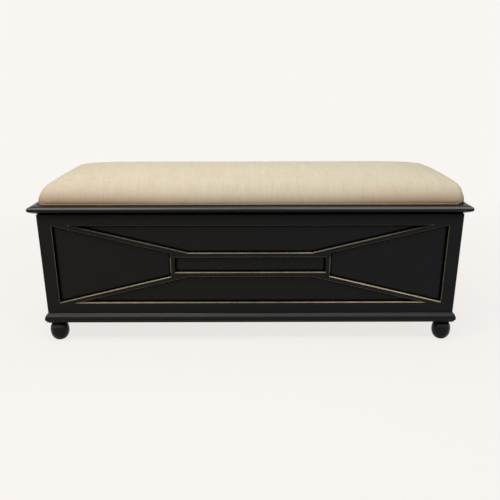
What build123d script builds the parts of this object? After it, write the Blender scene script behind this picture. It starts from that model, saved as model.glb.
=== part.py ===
from build123d import *
import os
from math import acos, atan2, cos, degrees, radians, sin

os.makedirs("parts", exist_ok=True)

# Storage bench: a framed box on ball feet, with an upholstered lid that is hinged at the back.
# Millimetres. X runs across the bench, Y from front to back, Z up from the floor.

# Overall sizes
lid_width = 1220.0  # over the moulded side edges
lid_depth = 406.0  # from the moulded front edge to the plain back edge
lid_thickness = 24.0
lid_overhang = 18.5  # moulded edge beyond the box, at the front and sides
lid_gap = 2.0  # between box and lid, for the hinge leaves and the bumpers
box_height = 296.0
base_height = 28.5
foot_height = 63.5

# Frame-and-panel front and sides
frame_thickness = 20.0
front_stile_width = 38.0
rail_width = 32.0
side_front_stile_width = 24.0
side_back_stile_width = 44.0
panel_thickness = 6.0
panel_recess = 10.0  # frame face to panel face
panel_tongue = 8.0  # panel edge held in the groove
panel_play = 0.1  # between panel and groove wall
groove_room = 0.3  # between panel edge and groove floor
arris = 1.2  # eased edge around every sunk field

# Fretwork on the front panel, flush with the frame
fret_width = 12.5
ring_half_width = 227.0
ring_half_height = 35.5

# Back, bottom and corner posts
back_thickness = 18.0
bottom_thickness = 9.0
post_size = 24.0
post_drop = 8.0  # post top below the box's top edge

# Base moulding
base_projection = 9.0  # nose beyond the box
base_inner = 46.0  # box face to the base frame's inner edge
base_nose_height = 10.5
base_top_step = 0.5  # flat between the box face and the rounded top
base_under_radius = 8.0
base_under_angle = 60.0

# Ball feet
foot_inset = 21.0  # foot centre inside the front and side faces
foot_back_inset = 30.0  # foot centre inside the back face
ball_radius = 26.8
foot_flat_radius = 6.5  # flat that stands on the floor
foot_neck_radius = 18.0
foot_neck_height = 1.4
foot_collar_radius = 21.0
foot_collar_height = 4.0
foot_plate_size = 44.0
foot_plate_thickness = 2.5
foot_screw_circle = 17.0
stud_radius = 4.0
stud_in_foot = 30.0
stud_in_base = 15.0
stud_play = 0.1

# Lid frame
lid_frame_width = 80.0
lid_back_rail_width = 70.0
lid_panel_thickness = 12.0
lid_rabbet = 12.0
lid_panel_play = 0.3
lid_ledge = 24.0  # width of the sloping top of the moulded edge
lid_ledge_crown = 1.0
nose_radius = 7.5
nose_drop = 9.0  # nose centre below the lid's top
nose_under_turn = 60.0  # how far the nose's curve turns under
nose_under_width = 23.0  # nose to the flat underside

# Upholstered seat
seat_side_ledge = 18.0  # bare lid beside the seat
seat_front_ledge = 22.0
seat_back_ledge = 12.0
seat_corner_radius = 20.0
seat_side_height = 16.0
seat_round_width = 74.0
seat_round_height = 54.0
seat_round_power = 1.67
seat_dome = 8.0
seat_tuck = 1.5  # cover drawn in where it meets the lid
seat_top_strip = 80.0  # flat strip along the middle of the crown
cover_thickness = 2.0
foam_play = 0.3
seat_board_thickness = 9.0
seat_screw_from_end = 180.0
seat_screw_from_edge = 95.0

# Butt hinges
hinge_places = (-400.0, 0.0, 400.0)
hinge_length = 70.0
hinge_knuckles = 5
knuckle_radius = 3.0
knuckle_gap = 0.3
hinge_axis_back = 3.5  # pin centre behind the box's back face
hinge_pin_radius = 1.5
hinge_pin_play = 0.05
hinge_pin_head_radius = 2.4
hinge_pin_head = 1.2
leaf_width = 14.0
leaf_play = 0.2  # between the closed leaves
leaf_setback = 0.1
hinge_screw_spacing = 24.0

# Folding lid stays
stay_lid_angle = 4.66  # lid pivot below the level of the hinge pin
stay_fold_angle = 12.0  # between the arms when the lid is closed
stay_front_room = 24.0  # folded elbow to the front corner post
stay_arm_width = 18.0
stay_arm_thickness = 2.5
stay_plate_thickness = 2.0
stay_layer_gap = 0.5  # between neighbouring layers of a stay
stay_pivot_radius = 3.0
stay_pivot_play = 0.05
stay_head_radius = 5.0
stay_head_thickness = 1.2
stay_head_play = 0.3
box_bracket_width = 32.0
box_bracket_top_drop = 4.0
box_bracket_screw_drop = 19.0  # screws below the box's top edge, in the side's top rail
box_bracket_screw_spacing = 16.0
lid_bracket_ear_width = 22.0
lid_bracket_length = 36.0
lid_bracket_flange = 26.0
lid_bracket_screw_spacing = 22.0

# Screws
small_screw_head_radius = 2.8
small_screw_radius = 1.4
small_screw_length = 12.0
plate_screw_head_radius = 3.6
plate_screw_radius = 1.9
plate_screw_length = 16.0
seat_screw_head_radius = 3.8
seat_screw_radius = 2.0
seat_screw_length = 18.0
screw_play = 0.1
screw_tip = 2.5

# Bumpers under the lid
bumper_radius = 5.0
bumper_from_corner = 60.0

# Screw sizes as head radius, shank radius and length
small_screw = (small_screw_head_radius, small_screw_radius, small_screw_length)
plate_screw = (plate_screw_head_radius, plate_screw_radius, plate_screw_length)
seat_screw = (seat_screw_head_radius, seat_screw_radius, seat_screw_length)

# Main planes, worked out from the sizes above
total_depth = lid_depth + hinge_axis_back + knuckle_radius
nose_y = -total_depth / 2
back_y = nose_y + lid_depth
front_y = nose_y + lid_overhang
half_lid = lid_width / 2
half_box = half_lid - lid_overhang
inner_x = half_box - frame_thickness
inner_front_y = front_y + frame_thickness
inner_back_y = back_y - back_thickness
base_z = foot_height
box_z = foot_height + base_height
box_top = box_z + box_height
lid_z = box_top + lid_gap
lid_top = lid_z + lid_thickness
lid_panel_z = lid_top - lid_panel_thickness
axis_y = back_y + hinge_axis_back
axis_z = box_top + lid_gap / 2

# Front opening and fretwork
half_opening = half_box - front_stile_width
opening_low = box_z + rail_width
opening_high = box_top - rail_width
opening_mid = (opening_low + opening_high) / 2
panel_y = front_y + panel_recess
groove_depth = panel_tongue + groove_room
ring_low = opening_mid - ring_half_height
ring_high = opening_mid + ring_half_height
fret_slope = atan2(opening_high - ring_high, half_opening - ring_half_width)
fret_slant = fret_width / sin(fret_slope)  # width of a diagonal where it meets a level edge

# Seat
seat_width = lid_width - 2 * seat_side_ledge
seat_depth = lid_depth - seat_front_ledge - seat_back_ledge
seat_y = nose_y + seat_front_ledge + seat_depth / 2

# Stay pivots, as places in the YZ plane: the four pivots are the corners of a rhombus on the hinge pin
lid_pivot_angle = radians(stay_lid_angle)
box_pivot_angle = lid_pivot_angle + radians(stay_fold_angle)
elbow_y = inner_front_y + post_size + stay_front_room + stay_arm_width / 2
stay_reach = (axis_y - elbow_y) / (cos(lid_pivot_angle) + cos(box_pivot_angle))
lid_arm = Vector(-stay_reach * cos(lid_pivot_angle), -stay_reach * sin(lid_pivot_angle))
box_arm = Vector(-stay_reach * cos(box_pivot_angle), -stay_reach * sin(box_pivot_angle))
hinge_point = Vector(axis_y, axis_z)
lid_pivot = hinge_point + lid_arm
box_pivot = hinge_point + box_arm
elbow = hinge_point + lid_arm + box_arm

# Layers of the left stay, from the side frame's inner face inwards
stay_wall_x = -inner_x
lower_arm_x = stay_wall_x + stay_plate_thickness + stay_layer_gap
upper_arm_x = lower_arm_x + stay_arm_thickness + stay_layer_gap
lid_ear_x = upper_arm_x + stay_arm_thickness + stay_layer_gap


def write(piece, name):
    """Label a finished piece and write its file."""
    piece.part.label = name
    export_step(piece.part, f"parts/{name}.step")


def board(low, high, mode=Mode.ADD):
    """A rectangular board between two opposite corners, in the part being built."""
    with Locations(low):
        Box(high[0] - low[0], high[1] - low[1], high[2] - low[2], align=(Align.MIN,) * 3, mode=mode)


def screw(size, play=0.0):
    """A countersunk screw that points down from its head at the origin; with play, the screw's hole."""
    head, shank, length = size[0] + play, size[1] + play, size[2] + play
    with BuildPart() as shape:
        with BuildSketch(Plane.XZ):
            with BuildLine():
                Polyline(
                    (0, 0),
                    (head, 0),
                    (shank, shank - head),
                    (shank, screw_tip - length),
                    (0, -length),
                    close=True,
                )
            make_face()
        revolve(axis=Axis.Z)
    return shape.part


def place(shape, places, mode=Mode.ADD):
    """Copies of a shape at the given places, in the part being built."""
    with Locations(*places):
        add(shape, mode=mode)


def rod(start, length, radius, mode=Mode.ADD):
    """A round rod along +X from its start, in the part being built."""
    with Locations(Location(start, (0, 90, 0))):
        Cylinder(radius, length, align=(Align.CENTER, Align.CENTER, Align.MIN), mode=mode)


# Places of the screws
hinge_screw_offsets = (-hinge_screw_spacing, 0, hinge_screw_spacing)
hinge_screw_x = [x + offset for x in hinge_places for offset in hinge_screw_offsets]
hinge_screw_y = back_y - leaf_width / 2
leaf_thickness = (lid_gap - leaf_play) / 2
box_hinge_screws = [Location((x, hinge_screw_y, box_top + leaf_thickness)) for x in hinge_screw_x]
lid_hinge_screws = [
    Location((x, hinge_screw_y, lid_z - leaf_thickness), (180, 0, 0)) for x in hinge_screw_x
]

box_bracket_screw_y = [box_pivot.X + side * box_bracket_screw_spacing / 2 for side in (-1, 1)]
box_bracket_screw_z = box_top - box_bracket_screw_drop
stay_face_x = stay_wall_x + stay_plate_thickness
left_box_screws = [
    Location((stay_face_x, y, box_bracket_screw_z), (0, 90, 0)) for y in box_bracket_screw_y
]
right_box_screws = [
    Location((-stay_face_x, y, box_bracket_screw_z), (0, -90, 0)) for y in box_bracket_screw_y
]

lid_bracket_screw_y = [lid_pivot.X + side * lid_bracket_screw_spacing / 2 for side in (-1, 1)]
lid_bracket_screw_x = lid_ear_x + (stay_plate_thickness + lid_bracket_flange) / 2
lid_bracket_screw_z = lid_z - stay_plate_thickness
left_lid_screws = [
    Location((lid_bracket_screw_x, y, lid_bracket_screw_z), (180, 0, 0)) for y in lid_bracket_screw_y
]
right_lid_screws = [
    Location((-lid_bracket_screw_x, y, lid_bracket_screw_z), (180, 0, 0)) for y in lid_bracket_screw_y
]

foot_x = half_box - foot_inset
foot_front_y = front_y + foot_inset
foot_back_y = back_y - foot_back_inset
foot_places = {
    "foot_front_left": (-foot_x, foot_front_y),
    "foot_front_right": (foot_x, foot_front_y),
    "foot_back_left": (-foot_x, foot_back_y),
    "foot_back_right": (foot_x, foot_back_y),
}
plate_z = foot_height - foot_plate_thickness
compass = ((foot_screw_circle, 0), (-foot_screw_circle, 0), (0, foot_screw_circle), (0, -foot_screw_circle))
foot_screws = [
    Location((x + across, y + along, plate_z), (180, 0, 0))
    for x, y in foot_places.values()
    for across, along in compass
]

seat_screw_end = seat_width / 2 - seat_screw_from_end
seat_screw_side = seat_depth / 2 - seat_screw_from_edge
seat_screw_x = (-seat_screw_end, 0, seat_screw_end)
seat_screw_y = (seat_y - seat_screw_side, seat_y + seat_screw_side)
seat_screws_at = [Location((x, y, lid_panel_z), (180, 0, 0)) for x in seat_screw_x for y in seat_screw_y]

small_hole = screw(small_screw, screw_play)
plate_hole = screw(plate_screw, screw_play)
seat_hole = screw(seat_screw, screw_play)

# Front panel and its frame
with BuildPart() as front_panel:
    board(
        (-half_opening - panel_tongue, panel_y, opening_low - panel_tongue),
        (half_opening + panel_tongue, panel_y + panel_thickness, opening_high + panel_tongue),
    )
write(front_panel, "front_panel")

# The five sunk fields of the front: their rims are eased all the way round
centre_half_width = ring_half_width - fret_width
centre_half_height = ring_half_height - fret_width
centre_field = [
    (-centre_half_width, opening_mid - centre_half_height),
    (centre_half_width, opening_mid - centre_half_height),
    (centre_half_width, opening_mid + centre_half_height),
    (-centre_half_width, opening_mid + centre_half_height),
]
right_field = [
    (ring_half_width, ring_low),
    (half_opening, opening_low),
    (half_opening, opening_high),
    (ring_half_width, ring_high),
]
left_field = [(-x, z) for x, z in reversed(right_field)]
top_field = [
    (fret_slant - ring_half_width, ring_high),
    (ring_half_width - fret_slant, ring_high),
    (half_opening - fret_slant, opening_high),
    (fret_slant - half_opening, opening_high),
]
bottom_field = [(x, 2 * opening_mid - z) for x, z in reversed(top_field)]

with BuildPart() as field_rims:
    for field in (centre_field, right_field, left_field, top_field, bottom_field):
        with BuildSketch(Plane.XZ.offset(-front_y - arris)):
            with BuildLine():
                Polyline(*field, close=True)
            make_face()
    extrude(amount=arris, taper=-45)

groove_front_y = panel_y - panel_play
groove_back_y = panel_y + panel_thickness + panel_play

with BuildPart() as front_left_stile:
    board((-half_box, front_y, box_z), (-half_opening, inner_front_y, box_top))
    board(
        (-half_opening - groove_depth, groove_front_y, box_z),
        (-half_opening, groove_back_y, box_top),
        mode=Mode.SUBTRACT,
    )
    add(field_rims.part, mode=Mode.SUBTRACT)
write(front_left_stile, "front_left_stile")

with BuildPart() as front_right_stile:
    mirror(front_left_stile.part, about=Plane.YZ)
write(front_right_stile, "front_right_stile")

# The rails end in stub tenons that sit in the stiles' grooves, clear of the panel's corners
with BuildPart() as front_bottom_rail:
    board((-half_opening, front_y, box_z), (half_opening, inner_front_y, opening_low))
    board(
        (-half_opening - panel_tongue, panel_y, box_z),
        (half_opening + panel_tongue, panel_y + panel_thickness, opening_low - groove_depth),
    )
    board(
        (-half_opening, groove_front_y, opening_low - groove_depth),
        (half_opening, groove_back_y, opening_low),
        mode=Mode.SUBTRACT,
    )
    add(field_rims.part, mode=Mode.SUBTRACT)
write(front_bottom_rail, "front_bottom_rail")

with BuildPart() as front_top_rail:
    mirror(front_bottom_rail.part, about=Plane.XY.offset(opening_mid))
write(front_top_rail, "front_top_rail")

# Fretwork: a ring of two bars and two uprights, and a diagonal from each ring corner to the frame's corner
with BuildPart() as fret_upper_bar:
    board((-ring_half_width, front_y, ring_high - fret_width), (ring_half_width, panel_y, ring_high))
    add(field_rims.part, mode=Mode.SUBTRACT)
write(fret_upper_bar, "fret_upper_bar")

with BuildPart() as fret_lower_bar:
    mirror(fret_upper_bar.part, about=Plane.XY.offset(opening_mid))
write(fret_lower_bar, "fret_lower_bar")

with BuildPart() as fret_right_upright:
    board(
        (centre_half_width, front_y, ring_low + fret_width),
        (ring_half_width, panel_y, ring_high - fret_width),
    )
    add(field_rims.part, mode=Mode.SUBTRACT)
write(fret_right_upright, "fret_right_upright")

with BuildPart() as fret_left_upright:
    mirror(fret_right_upright.part, about=Plane.YZ)
write(fret_left_upright, "fret_left_upright")

with BuildPart() as fret_upper_right_diagonal:
    with BuildSketch(Plane.XZ.offset(-front_y)):
        with BuildLine():
            Polyline(
                (ring_half_width, ring_high),
                (half_opening, opening_high),
                (half_opening - fret_slant, opening_high),
                (ring_half_width - fret_slant, ring_high),
                close=True,
            )
        make_face()
    extrude(amount=-panel_recess)
    add(field_rims.part, mode=Mode.SUBTRACT)
write(fret_upper_right_diagonal, "fret_upper_right_diagonal")

with BuildPart() as fret_upper_left_diagonal:
    mirror(fret_upper_right_diagonal.part, about=Plane.YZ)
write(fret_upper_left_diagonal, "fret_upper_left_diagonal")

with BuildPart() as fret_lower_right_diagonal:
    mirror(fret_upper_right_diagonal.part, about=Plane.XY.offset(opening_mid))
write(fret_lower_right_diagonal, "fret_lower_right_diagonal")

with BuildPart() as fret_lower_left_diagonal:
    mirror(fret_lower_right_diagonal.part, about=Plane.YZ)
write(fret_lower_left_diagonal, "fret_lower_left_diagonal")

# Sides: the left one is modelled and the right one is its mirror image
side_panel_x = -half_box + panel_recess
side_open_front = inner_front_y + side_front_stile_width
side_open_back = back_y - side_back_stile_width
side_groove_low_x = side_panel_x - panel_play
side_groove_high_x = side_panel_x + panel_thickness + panel_play

with BuildPart() as side_rim:
    with BuildSketch(Plane((-half_box + arris, 0, 0), x_dir=(0, -1, 0), z_dir=(-1, 0, 0))):
        with BuildLine():
            Polyline(
                (-side_open_front, opening_low),
                (-side_open_front, opening_high),
                (-side_open_back, opening_high),
                (-side_open_back, opening_low),
                close=True,
            )
        make_face()
    extrude(amount=arris, taper=-45)

with BuildPart() as left_side_panel:
    board(
        (side_panel_x, side_open_front - panel_tongue, opening_low - panel_tongue),
        (side_panel_x + panel_thickness, side_open_back + panel_tongue, opening_high + panel_tongue),
    )
write(left_side_panel, "left_side_panel")

with BuildPart() as left_side_stiles:
    board((-half_box, inner_front_y, box_z), (-inner_x, side_open_front, box_top))
    board((-half_box, side_open_back, box_z), (-inner_x, back_y, box_top))
    board(
        (side_groove_low_x, side_open_front - groove_depth, box_z),
        (side_groove_high_x, side_open_back + groove_depth, box_top),
        mode=Mode.SUBTRACT,
    )
    add(side_rim.part, mode=Mode.SUBTRACT)
write(left_side_stiles, "left_side_stiles")

with BuildPart() as left_side_rails:
    for rail_low, rail_high, tenon_low, tenon_high in (
        (box_z, opening_low, box_z, opening_low - groove_depth),
        (opening_high, box_top, opening_high + groove_depth, box_top),
    ):
        board((-half_box, side_open_front, rail_low), (-inner_x, side_open_back, rail_high))
        board(
            (side_panel_x, side_open_front - panel_tongue, tenon_low),
            (side_panel_x + panel_thickness, side_open_back + panel_tongue, tenon_high),
        )
    board(
        (side_groove_low_x, side_open_front, opening_low - groove_depth),
        (side_groove_high_x, side_open_back, opening_high + groove_depth),
        mode=Mode.SUBTRACT,
    )
    add(side_rim.part, mode=Mode.SUBTRACT)
    place(small_hole, left_box_screws, mode=Mode.SUBTRACT)
write(left_side_rails, "left_side_rails")

for left_piece, name in (
    (left_side_panel, "right_side_panel"),
    (left_side_stiles, "right_side_stiles"),
    (left_side_rails, "right_side_rails"),
):
    with BuildPart() as right_piece:
        mirror(left_piece.part, about=Plane.YZ)
    write(right_piece, name)

# Back, bottom and corner posts
with BuildPart() as back_panel:
    board((-inner_x, inner_back_y, box_z), (inner_x, back_y, box_top))
    place(small_hole, box_hinge_screws, mode=Mode.SUBTRACT)
write(back_panel, "back_panel")

with BuildPart() as bottom_panel:
    board((-inner_x, inner_front_y, box_z), (inner_x, inner_back_y, box_z + bottom_thickness))
write(bottom_panel, "bottom_panel")

with BuildPart() as corner_posts:
    for x in (-inner_x, inner_x - post_size):
        for y in (inner_front_y, inner_back_y - post_size):
            board((x, y, box_z + bottom_thickness), (x + post_size, y + post_size, box_top - post_drop))
write(corner_posts, "corner_posts")


# Base moulding: a frame with mitred front corners and a plain back
def base_piece(plane, edge, outwards, plan):
    """One moulded length of the base: edge is the box face across the plane, plan the piece's outline."""
    rise = base_height - base_nose_height
    reach = base_projection - base_top_step
    top_radius = (reach**2 + rise**2) / (2 * reach)
    half_turn = atan2(rise, top_radius - reach) / 2
    under = radians(base_under_angle)

    def at(across, up):
        return (edge + outwards * across, base_z + up)

    top_mid = at(
        base_projection - top_radius * (1 - cos(half_turn)),
        base_nose_height + top_radius * sin(half_turn),
    )
    nose = at(base_projection, base_nose_height)
    under_mid = at(
        base_projection - base_under_radius * (1 - cos(under / 2)),
        base_nose_height - base_under_radius * sin(under / 2),
    )
    under_x = base_projection - base_under_radius * (1 - cos(under))
    under_end = at(under_x, base_nose_height - base_under_radius * sin(under))
    with BuildPart() as length:
        with BuildSketch(plane):
            with BuildLine():
                ThreePointArc(at(base_top_step, base_height), top_mid, nose)
                ThreePointArc(nose, under_mid, under_end)
                Polyline(
                    under_end,
                    at(under_x, 0),
                    at(-base_inner, 0),
                    at(-base_inner, base_height),
                    at(base_top_step, base_height),
                )
            make_face()
        extrude(amount=lid_width, both=True)
        with BuildSketch(Plane.XY.offset(base_z)):
            with BuildLine():
                Polyline(*plan, close=True)
            make_face()
        extrude(amount=base_height, mode=Mode.INTERSECT)
        place(plate_hole, foot_screws, mode=Mode.SUBTRACT)
        for x, y in foot_places.values():
            with Locations((x, y, foot_height)):
                Cylinder(
                    stud_radius + stud_play,
                    stud_in_base + stud_play,
                    align=(Align.CENTER, Align.CENTER, Align.MIN),
                    mode=Mode.SUBTRACT,
                )
    return length


base_outer_x = half_box + base_projection
base_inner_x = half_box - base_inner
base_outer_y = front_y - base_projection
base_inner_y = front_y + base_inner

base_front = base_piece(
    Plane.YZ,
    front_y,
    -1,
    [
        (-base_outer_x, base_outer_y),
        (base_outer_x, base_outer_y),
        (base_inner_x, base_inner_y),
        (-base_inner_x, base_inner_y),
    ],
)
write(base_front, "base_front")

base_left = base_piece(
    Plane.XZ,
    -half_box,
    -1,
    [
        (-base_outer_x, base_outer_y),
        (-base_inner_x, base_inner_y),
        (-base_inner_x, back_y),
        (-base_outer_x, back_y),
    ],
)
write(base_left, "base_left")

with BuildPart() as base_right:
    mirror(base_left.part, about=Plane.YZ)
write(base_right, "base_right")

with BuildPart() as base_back:
    board((-base_inner_x, back_y - base_inner, base_z), (base_inner_x, back_y, base_z + base_height))
write(base_back, "base_back")

# Ball feet, with their plates, plate screws and threaded studs.
# The ball is an ellipse turned about its upright axis: it runs from the flat on the floor up to the neck.
foot_top = foot_height - foot_plate_thickness
collar_z = foot_top - foot_collar_height
flat_turn = -acos(foot_flat_radius / ball_radius)
neck_turn = acos(foot_neck_radius / ball_radius)
ball_half_height = (collar_z - foot_neck_height) / (sin(neck_turn) - sin(flat_turn))
ball_centre_height = -ball_half_height * sin(flat_turn)

for name, (x, y) in foot_places.items():
    with BuildPart() as foot:
        with BuildSketch(Plane((x, y, 0), x_dir=(1, 0, 0), z_dir=(0, -1, 0))):
            with BuildLine():
                ball = EllipticalCenterArc(
                    (0, ball_centre_height),
                    ball_radius,
                    ball_half_height,
                    start_angle=degrees(flat_turn),
                    arc_size=degrees(neck_turn - flat_turn),
                )
                Polyline(
                    ball @ 1,
                    (foot_neck_radius, collar_z),
                    (foot_collar_radius, collar_z),
                    (foot_collar_radius, foot_top),
                    (0, foot_top),
                    (0, 0),
                    ball @ 0,
                )
            make_face()
        revolve(axis=Axis((x, y, 0), (0, 0, 1)))
        with Locations((x, y, foot_top)):
            Hole(stud_radius + stud_play, depth=stud_in_foot + stud_play)
    write(foot, name)

with BuildPart() as foot_plates:
    for x, y in foot_places.values():
        board(
            (x - foot_plate_size / 2, y - foot_plate_size / 2, plate_z),
            (x + foot_plate_size / 2, y + foot_plate_size / 2, foot_height),
        )
        with Locations((x, y, foot_height)):
            Hole(stud_radius + stud_play, depth=foot_plate_thickness)
    place(plate_hole, foot_screws, mode=Mode.SUBTRACT)
write(foot_plates, "foot_plates")

with BuildPart() as foot_plate_screws:
    place(screw(plate_screw), foot_screws)
write(foot_plate_screws, "foot_plate_screws")

with BuildPart() as foot_studs:
    for x, y in foot_places.values():
        with Locations((x, y, foot_top - stud_in_foot)):
            Cylinder(
                stud_radius,
                stud_in_foot + foot_plate_thickness + stud_in_base,
                align=(Align.CENTER, Align.CENTER, Align.MIN),
            )
write(foot_studs, "foot_studs")

# Bumpers on the box's top edge, two at the front and two at the sides
bumper_edge = half_box - frame_thickness / 2
bumper_places = [
    (-half_box + bumper_from_corner, front_y + frame_thickness / 2, box_top),
    (half_box - bumper_from_corner, front_y + frame_thickness / 2, box_top),
    (-bumper_edge, front_y + bumper_from_corner, box_top),
    (bumper_edge, front_y + bumper_from_corner, box_top),
]
with BuildPart() as lid_bumpers:
    with Locations(*bumper_places):
        Cylinder(bumper_radius, lid_gap, align=(Align.CENTER, Align.CENTER, Align.MIN))
write(lid_bumpers, "lid_bumpers")


# Lid frame: moulded front and sides with mitred corners, plain back rail, panel let in from above
def lid_moulding(plane, edge, inwards, plan, holes):
    """One moulded length of the lid: edge is the nose across the plane, plan its outline from above."""
    nose_height = lid_thickness - nose_drop
    nose_turn = nose_radius * cos(radians(45))
    ledge_end = (nose_radius - nose_turn, nose_height + nose_turn)
    ledge_mid = ((lid_ledge + ledge_end[0]) / 2, (lid_thickness + ledge_end[1]) / 2 + lid_ledge_crown)
    under = radians(nose_under_turn)
    nose_end = (nose_radius * (1 - cos(under)), nose_height - nose_radius * sin(under))

    def at(across, up):
        return (edge + inwards * across, lid_z + up)

    with BuildPart() as length:
        with BuildSketch(plane):
            with BuildLine():
                ThreePointArc(at(lid_ledge, lid_thickness), at(*ledge_mid), at(*ledge_end))
                ThreePointArc(at(*ledge_end), at(0, nose_height), at(*nose_end))
                TangentArc(at(*nose_end), at(nose_under_width, 0), tangent=(inwards * sin(under), -cos(under)))
                Polyline(
                    at(nose_under_width, 0),
                    at(lid_frame_width, 0),
                    at(lid_frame_width, lid_thickness - lid_panel_thickness),
                    at(lid_frame_width - lid_rabbet, lid_thickness - lid_panel_thickness),
                    at(lid_frame_width - lid_rabbet, lid_thickness),
                    at(lid_ledge, lid_thickness),
                )
            make_face()
        extrude(amount=lid_width, both=True)
        with BuildSketch(Plane.XY.offset(lid_z)):
            with BuildLine():
                Polyline(*plan, close=True)
            make_face()
        extrude(amount=lid_thickness, mode=Mode.INTERSECT)
        if holes:
            place(small_hole, holes, mode=Mode.SUBTRACT)
    return length


lid_inner_x = half_lid - lid_frame_width
lid_inner_y = nose_y + lid_frame_width
lid_back_rail_y = back_y - lid_back_rail_width

lid_front_moulding = lid_moulding(
    Plane.YZ,
    nose_y,
    1,
    [(-half_lid, nose_y), (half_lid, nose_y), (lid_inner_x, lid_inner_y), (-lid_inner_x, lid_inner_y)],
    [],
)
write(lid_front_moulding, "lid_front_moulding")

lid_left_moulding = lid_moulding(
    Plane.XZ,
    -half_lid,
    1,
    [(-half_lid, nose_y), (-lid_inner_x, lid_inner_y), (-lid_inner_x, back_y), (-half_lid, back_y)],
    left_lid_screws,
)
write(lid_left_moulding, "lid_left_moulding")

with BuildPart() as lid_right_moulding:
    mirror(lid_left_moulding.part, about=Plane.YZ)
write(lid_right_moulding, "lid_right_moulding")

rabbet_x = lid_inner_x + lid_rabbet
with BuildPart() as lid_back_rail:
    board((-lid_inner_x, lid_back_rail_y, lid_z), (lid_inner_x, back_y, lid_top))
    board((-rabbet_x, lid_back_rail_y + lid_rabbet, lid_panel_z), (rabbet_x, back_y, lid_top))
    board(
        (-lid_inner_x, lid_back_rail_y, lid_panel_z),
        (lid_inner_x, lid_back_rail_y + lid_rabbet, lid_top),
        mode=Mode.SUBTRACT,
    )
    place(small_hole, lid_hinge_screws, mode=Mode.SUBTRACT)
write(lid_back_rail, "lid_back_rail")

with BuildPart() as lid_panel:
    board(
        (-rabbet_x + lid_panel_play, lid_inner_y - lid_rabbet + lid_panel_play, lid_panel_z),
        (rabbet_x - lid_panel_play, lid_back_rail_y + lid_rabbet - lid_panel_play, lid_top),
    )
    place(seat_hole, seat_screws_at, mode=Mode.SUBTRACT)
write(lid_panel, "lid_panel")


# Seat: the cover's sides rise from a tucked foot, round over in a wide curve and end in a shallow crown
def seat_sections():
    """Inset from the seat's widest outline, and height above the lid, of each level of the cover."""
    sections = [(seat_tuck, 0.0), (0.0, seat_side_height)]
    for turn in (22, 42, 60, 76):
        inset = seat_round_width * (1 - cos(radians(turn)) ** (2 / seat_round_power))
        height = seat_round_height * sin(radians(turn)) ** (2 / seat_round_power)
        sections.append((inset, seat_side_height + height))
    crown = seat_side_height + seat_round_height + seat_dome
    sections.append(((seat_depth - seat_top_strip) / 2, crown))
    return sections


def seat_form(skin):
    """The crowned form of the seat, drawn in by the skin's thickness on the sides and the top."""
    with BuildPart() as form:
        for inset, height in seat_sections():
            with BuildSketch(Plane.XY.offset(lid_top + max(height - skin, 0.0))):
                with Locations((0, seat_y)):
                    RectangleRounded(
                        seat_width - 2 * (inset + skin),
                        seat_depth - 2 * (inset + skin),
                        seat_corner_radius - skin,
                    )
        loft(ruled=True)
    return form


with BuildPart() as seat_cover:
    add(seat_form(0.0).part)
    add(seat_form(cover_thickness).part, mode=Mode.SUBTRACT)
write(seat_cover, "seat_cover")

with BuildPart() as seat_foam:
    add(seat_form(cover_thickness + foam_play).part)
    split(bisect_by=Plane.XY.offset(lid_top + seat_board_thickness), keep=Keep.TOP)
write(seat_foam, "seat_foam")

board_inset = seat_tuck + cover_thickness + foam_play
with BuildPart() as seat_board:
    with BuildSketch(Plane.XY.offset(lid_top)):
        with Locations((0, seat_y)):
            RectangleRounded(
                seat_width - 2 * board_inset,
                seat_depth - 2 * board_inset,
                seat_corner_radius - cover_thickness,
            )
    extrude(amount=seat_board_thickness)
    place(seat_hole, seat_screws_at, mode=Mode.SUBTRACT)
write(seat_board, "seat_board")

with BuildPart() as seat_screws:
    place(screw(seat_screw), seat_screws_at)
write(seat_screws, "seat_screws")


# Butt hinges: the knuckles of the two leaves alternate along the pin
def hinge_leaves(low_z, high_z, own_knuckles, screws):
    """The three leaves on one side of the hinges, with their own share of the knuckles."""
    knuckle_length = hinge_length / hinge_knuckles
    with BuildPart() as leaves:
        for middle in hinge_places:
            start = middle - hinge_length / 2
            end = start + hinge_length
            board((start, back_y - leaf_width, low_z), (end, back_y - leaf_setback, high_z))
            for knuckle in own_knuckles:
                low_x = start + knuckle * knuckle_length + knuckle_gap / 2
                high_x = low_x + knuckle_length - knuckle_gap
                board((low_x, back_y - leaf_setback, low_z), (high_x, axis_y, high_z))
                rod((low_x, axis_y, axis_z), high_x - low_x, knuckle_radius)
            bore_radius = hinge_pin_radius + hinge_pin_play
            rod((start, axis_y, axis_z), hinge_length, bore_radius, mode=Mode.SUBTRACT)
        place(small_hole, screws, mode=Mode.SUBTRACT)
    return leaves


hinge_box_leaves = hinge_leaves(
    box_top, box_top + leaf_thickness, range(0, hinge_knuckles, 2), box_hinge_screws
)
write(hinge_box_leaves, "hinge_box_leaves")

hinge_lid_leaves = hinge_leaves(
    lid_z - leaf_thickness, lid_z, range(1, hinge_knuckles, 2), lid_hinge_screws
)
write(hinge_lid_leaves, "hinge_lid_leaves")

with BuildPart() as hinge_pins:
    for middle in hinge_places:
        start = middle - hinge_length / 2
        rod((start, axis_y, axis_z), hinge_length, hinge_pin_radius)
        rod((start - hinge_pin_head, axis_y, axis_z), hinge_pin_head, hinge_pin_head_radius)
        rod((start + hinge_length, axis_y, axis_z), hinge_pin_head, hinge_pin_head_radius)
write(hinge_pins, "hinge_pins")

with BuildPart() as hinge_box_screws:
    place(screw(small_screw), box_hinge_screws)
write(hinge_box_screws, "hinge_box_screws")

with BuildPart() as hinge_lid_screws:
    place(screw(small_screw), lid_hinge_screws)
write(hinge_lid_screws, "hinge_lid_screws")


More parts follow.
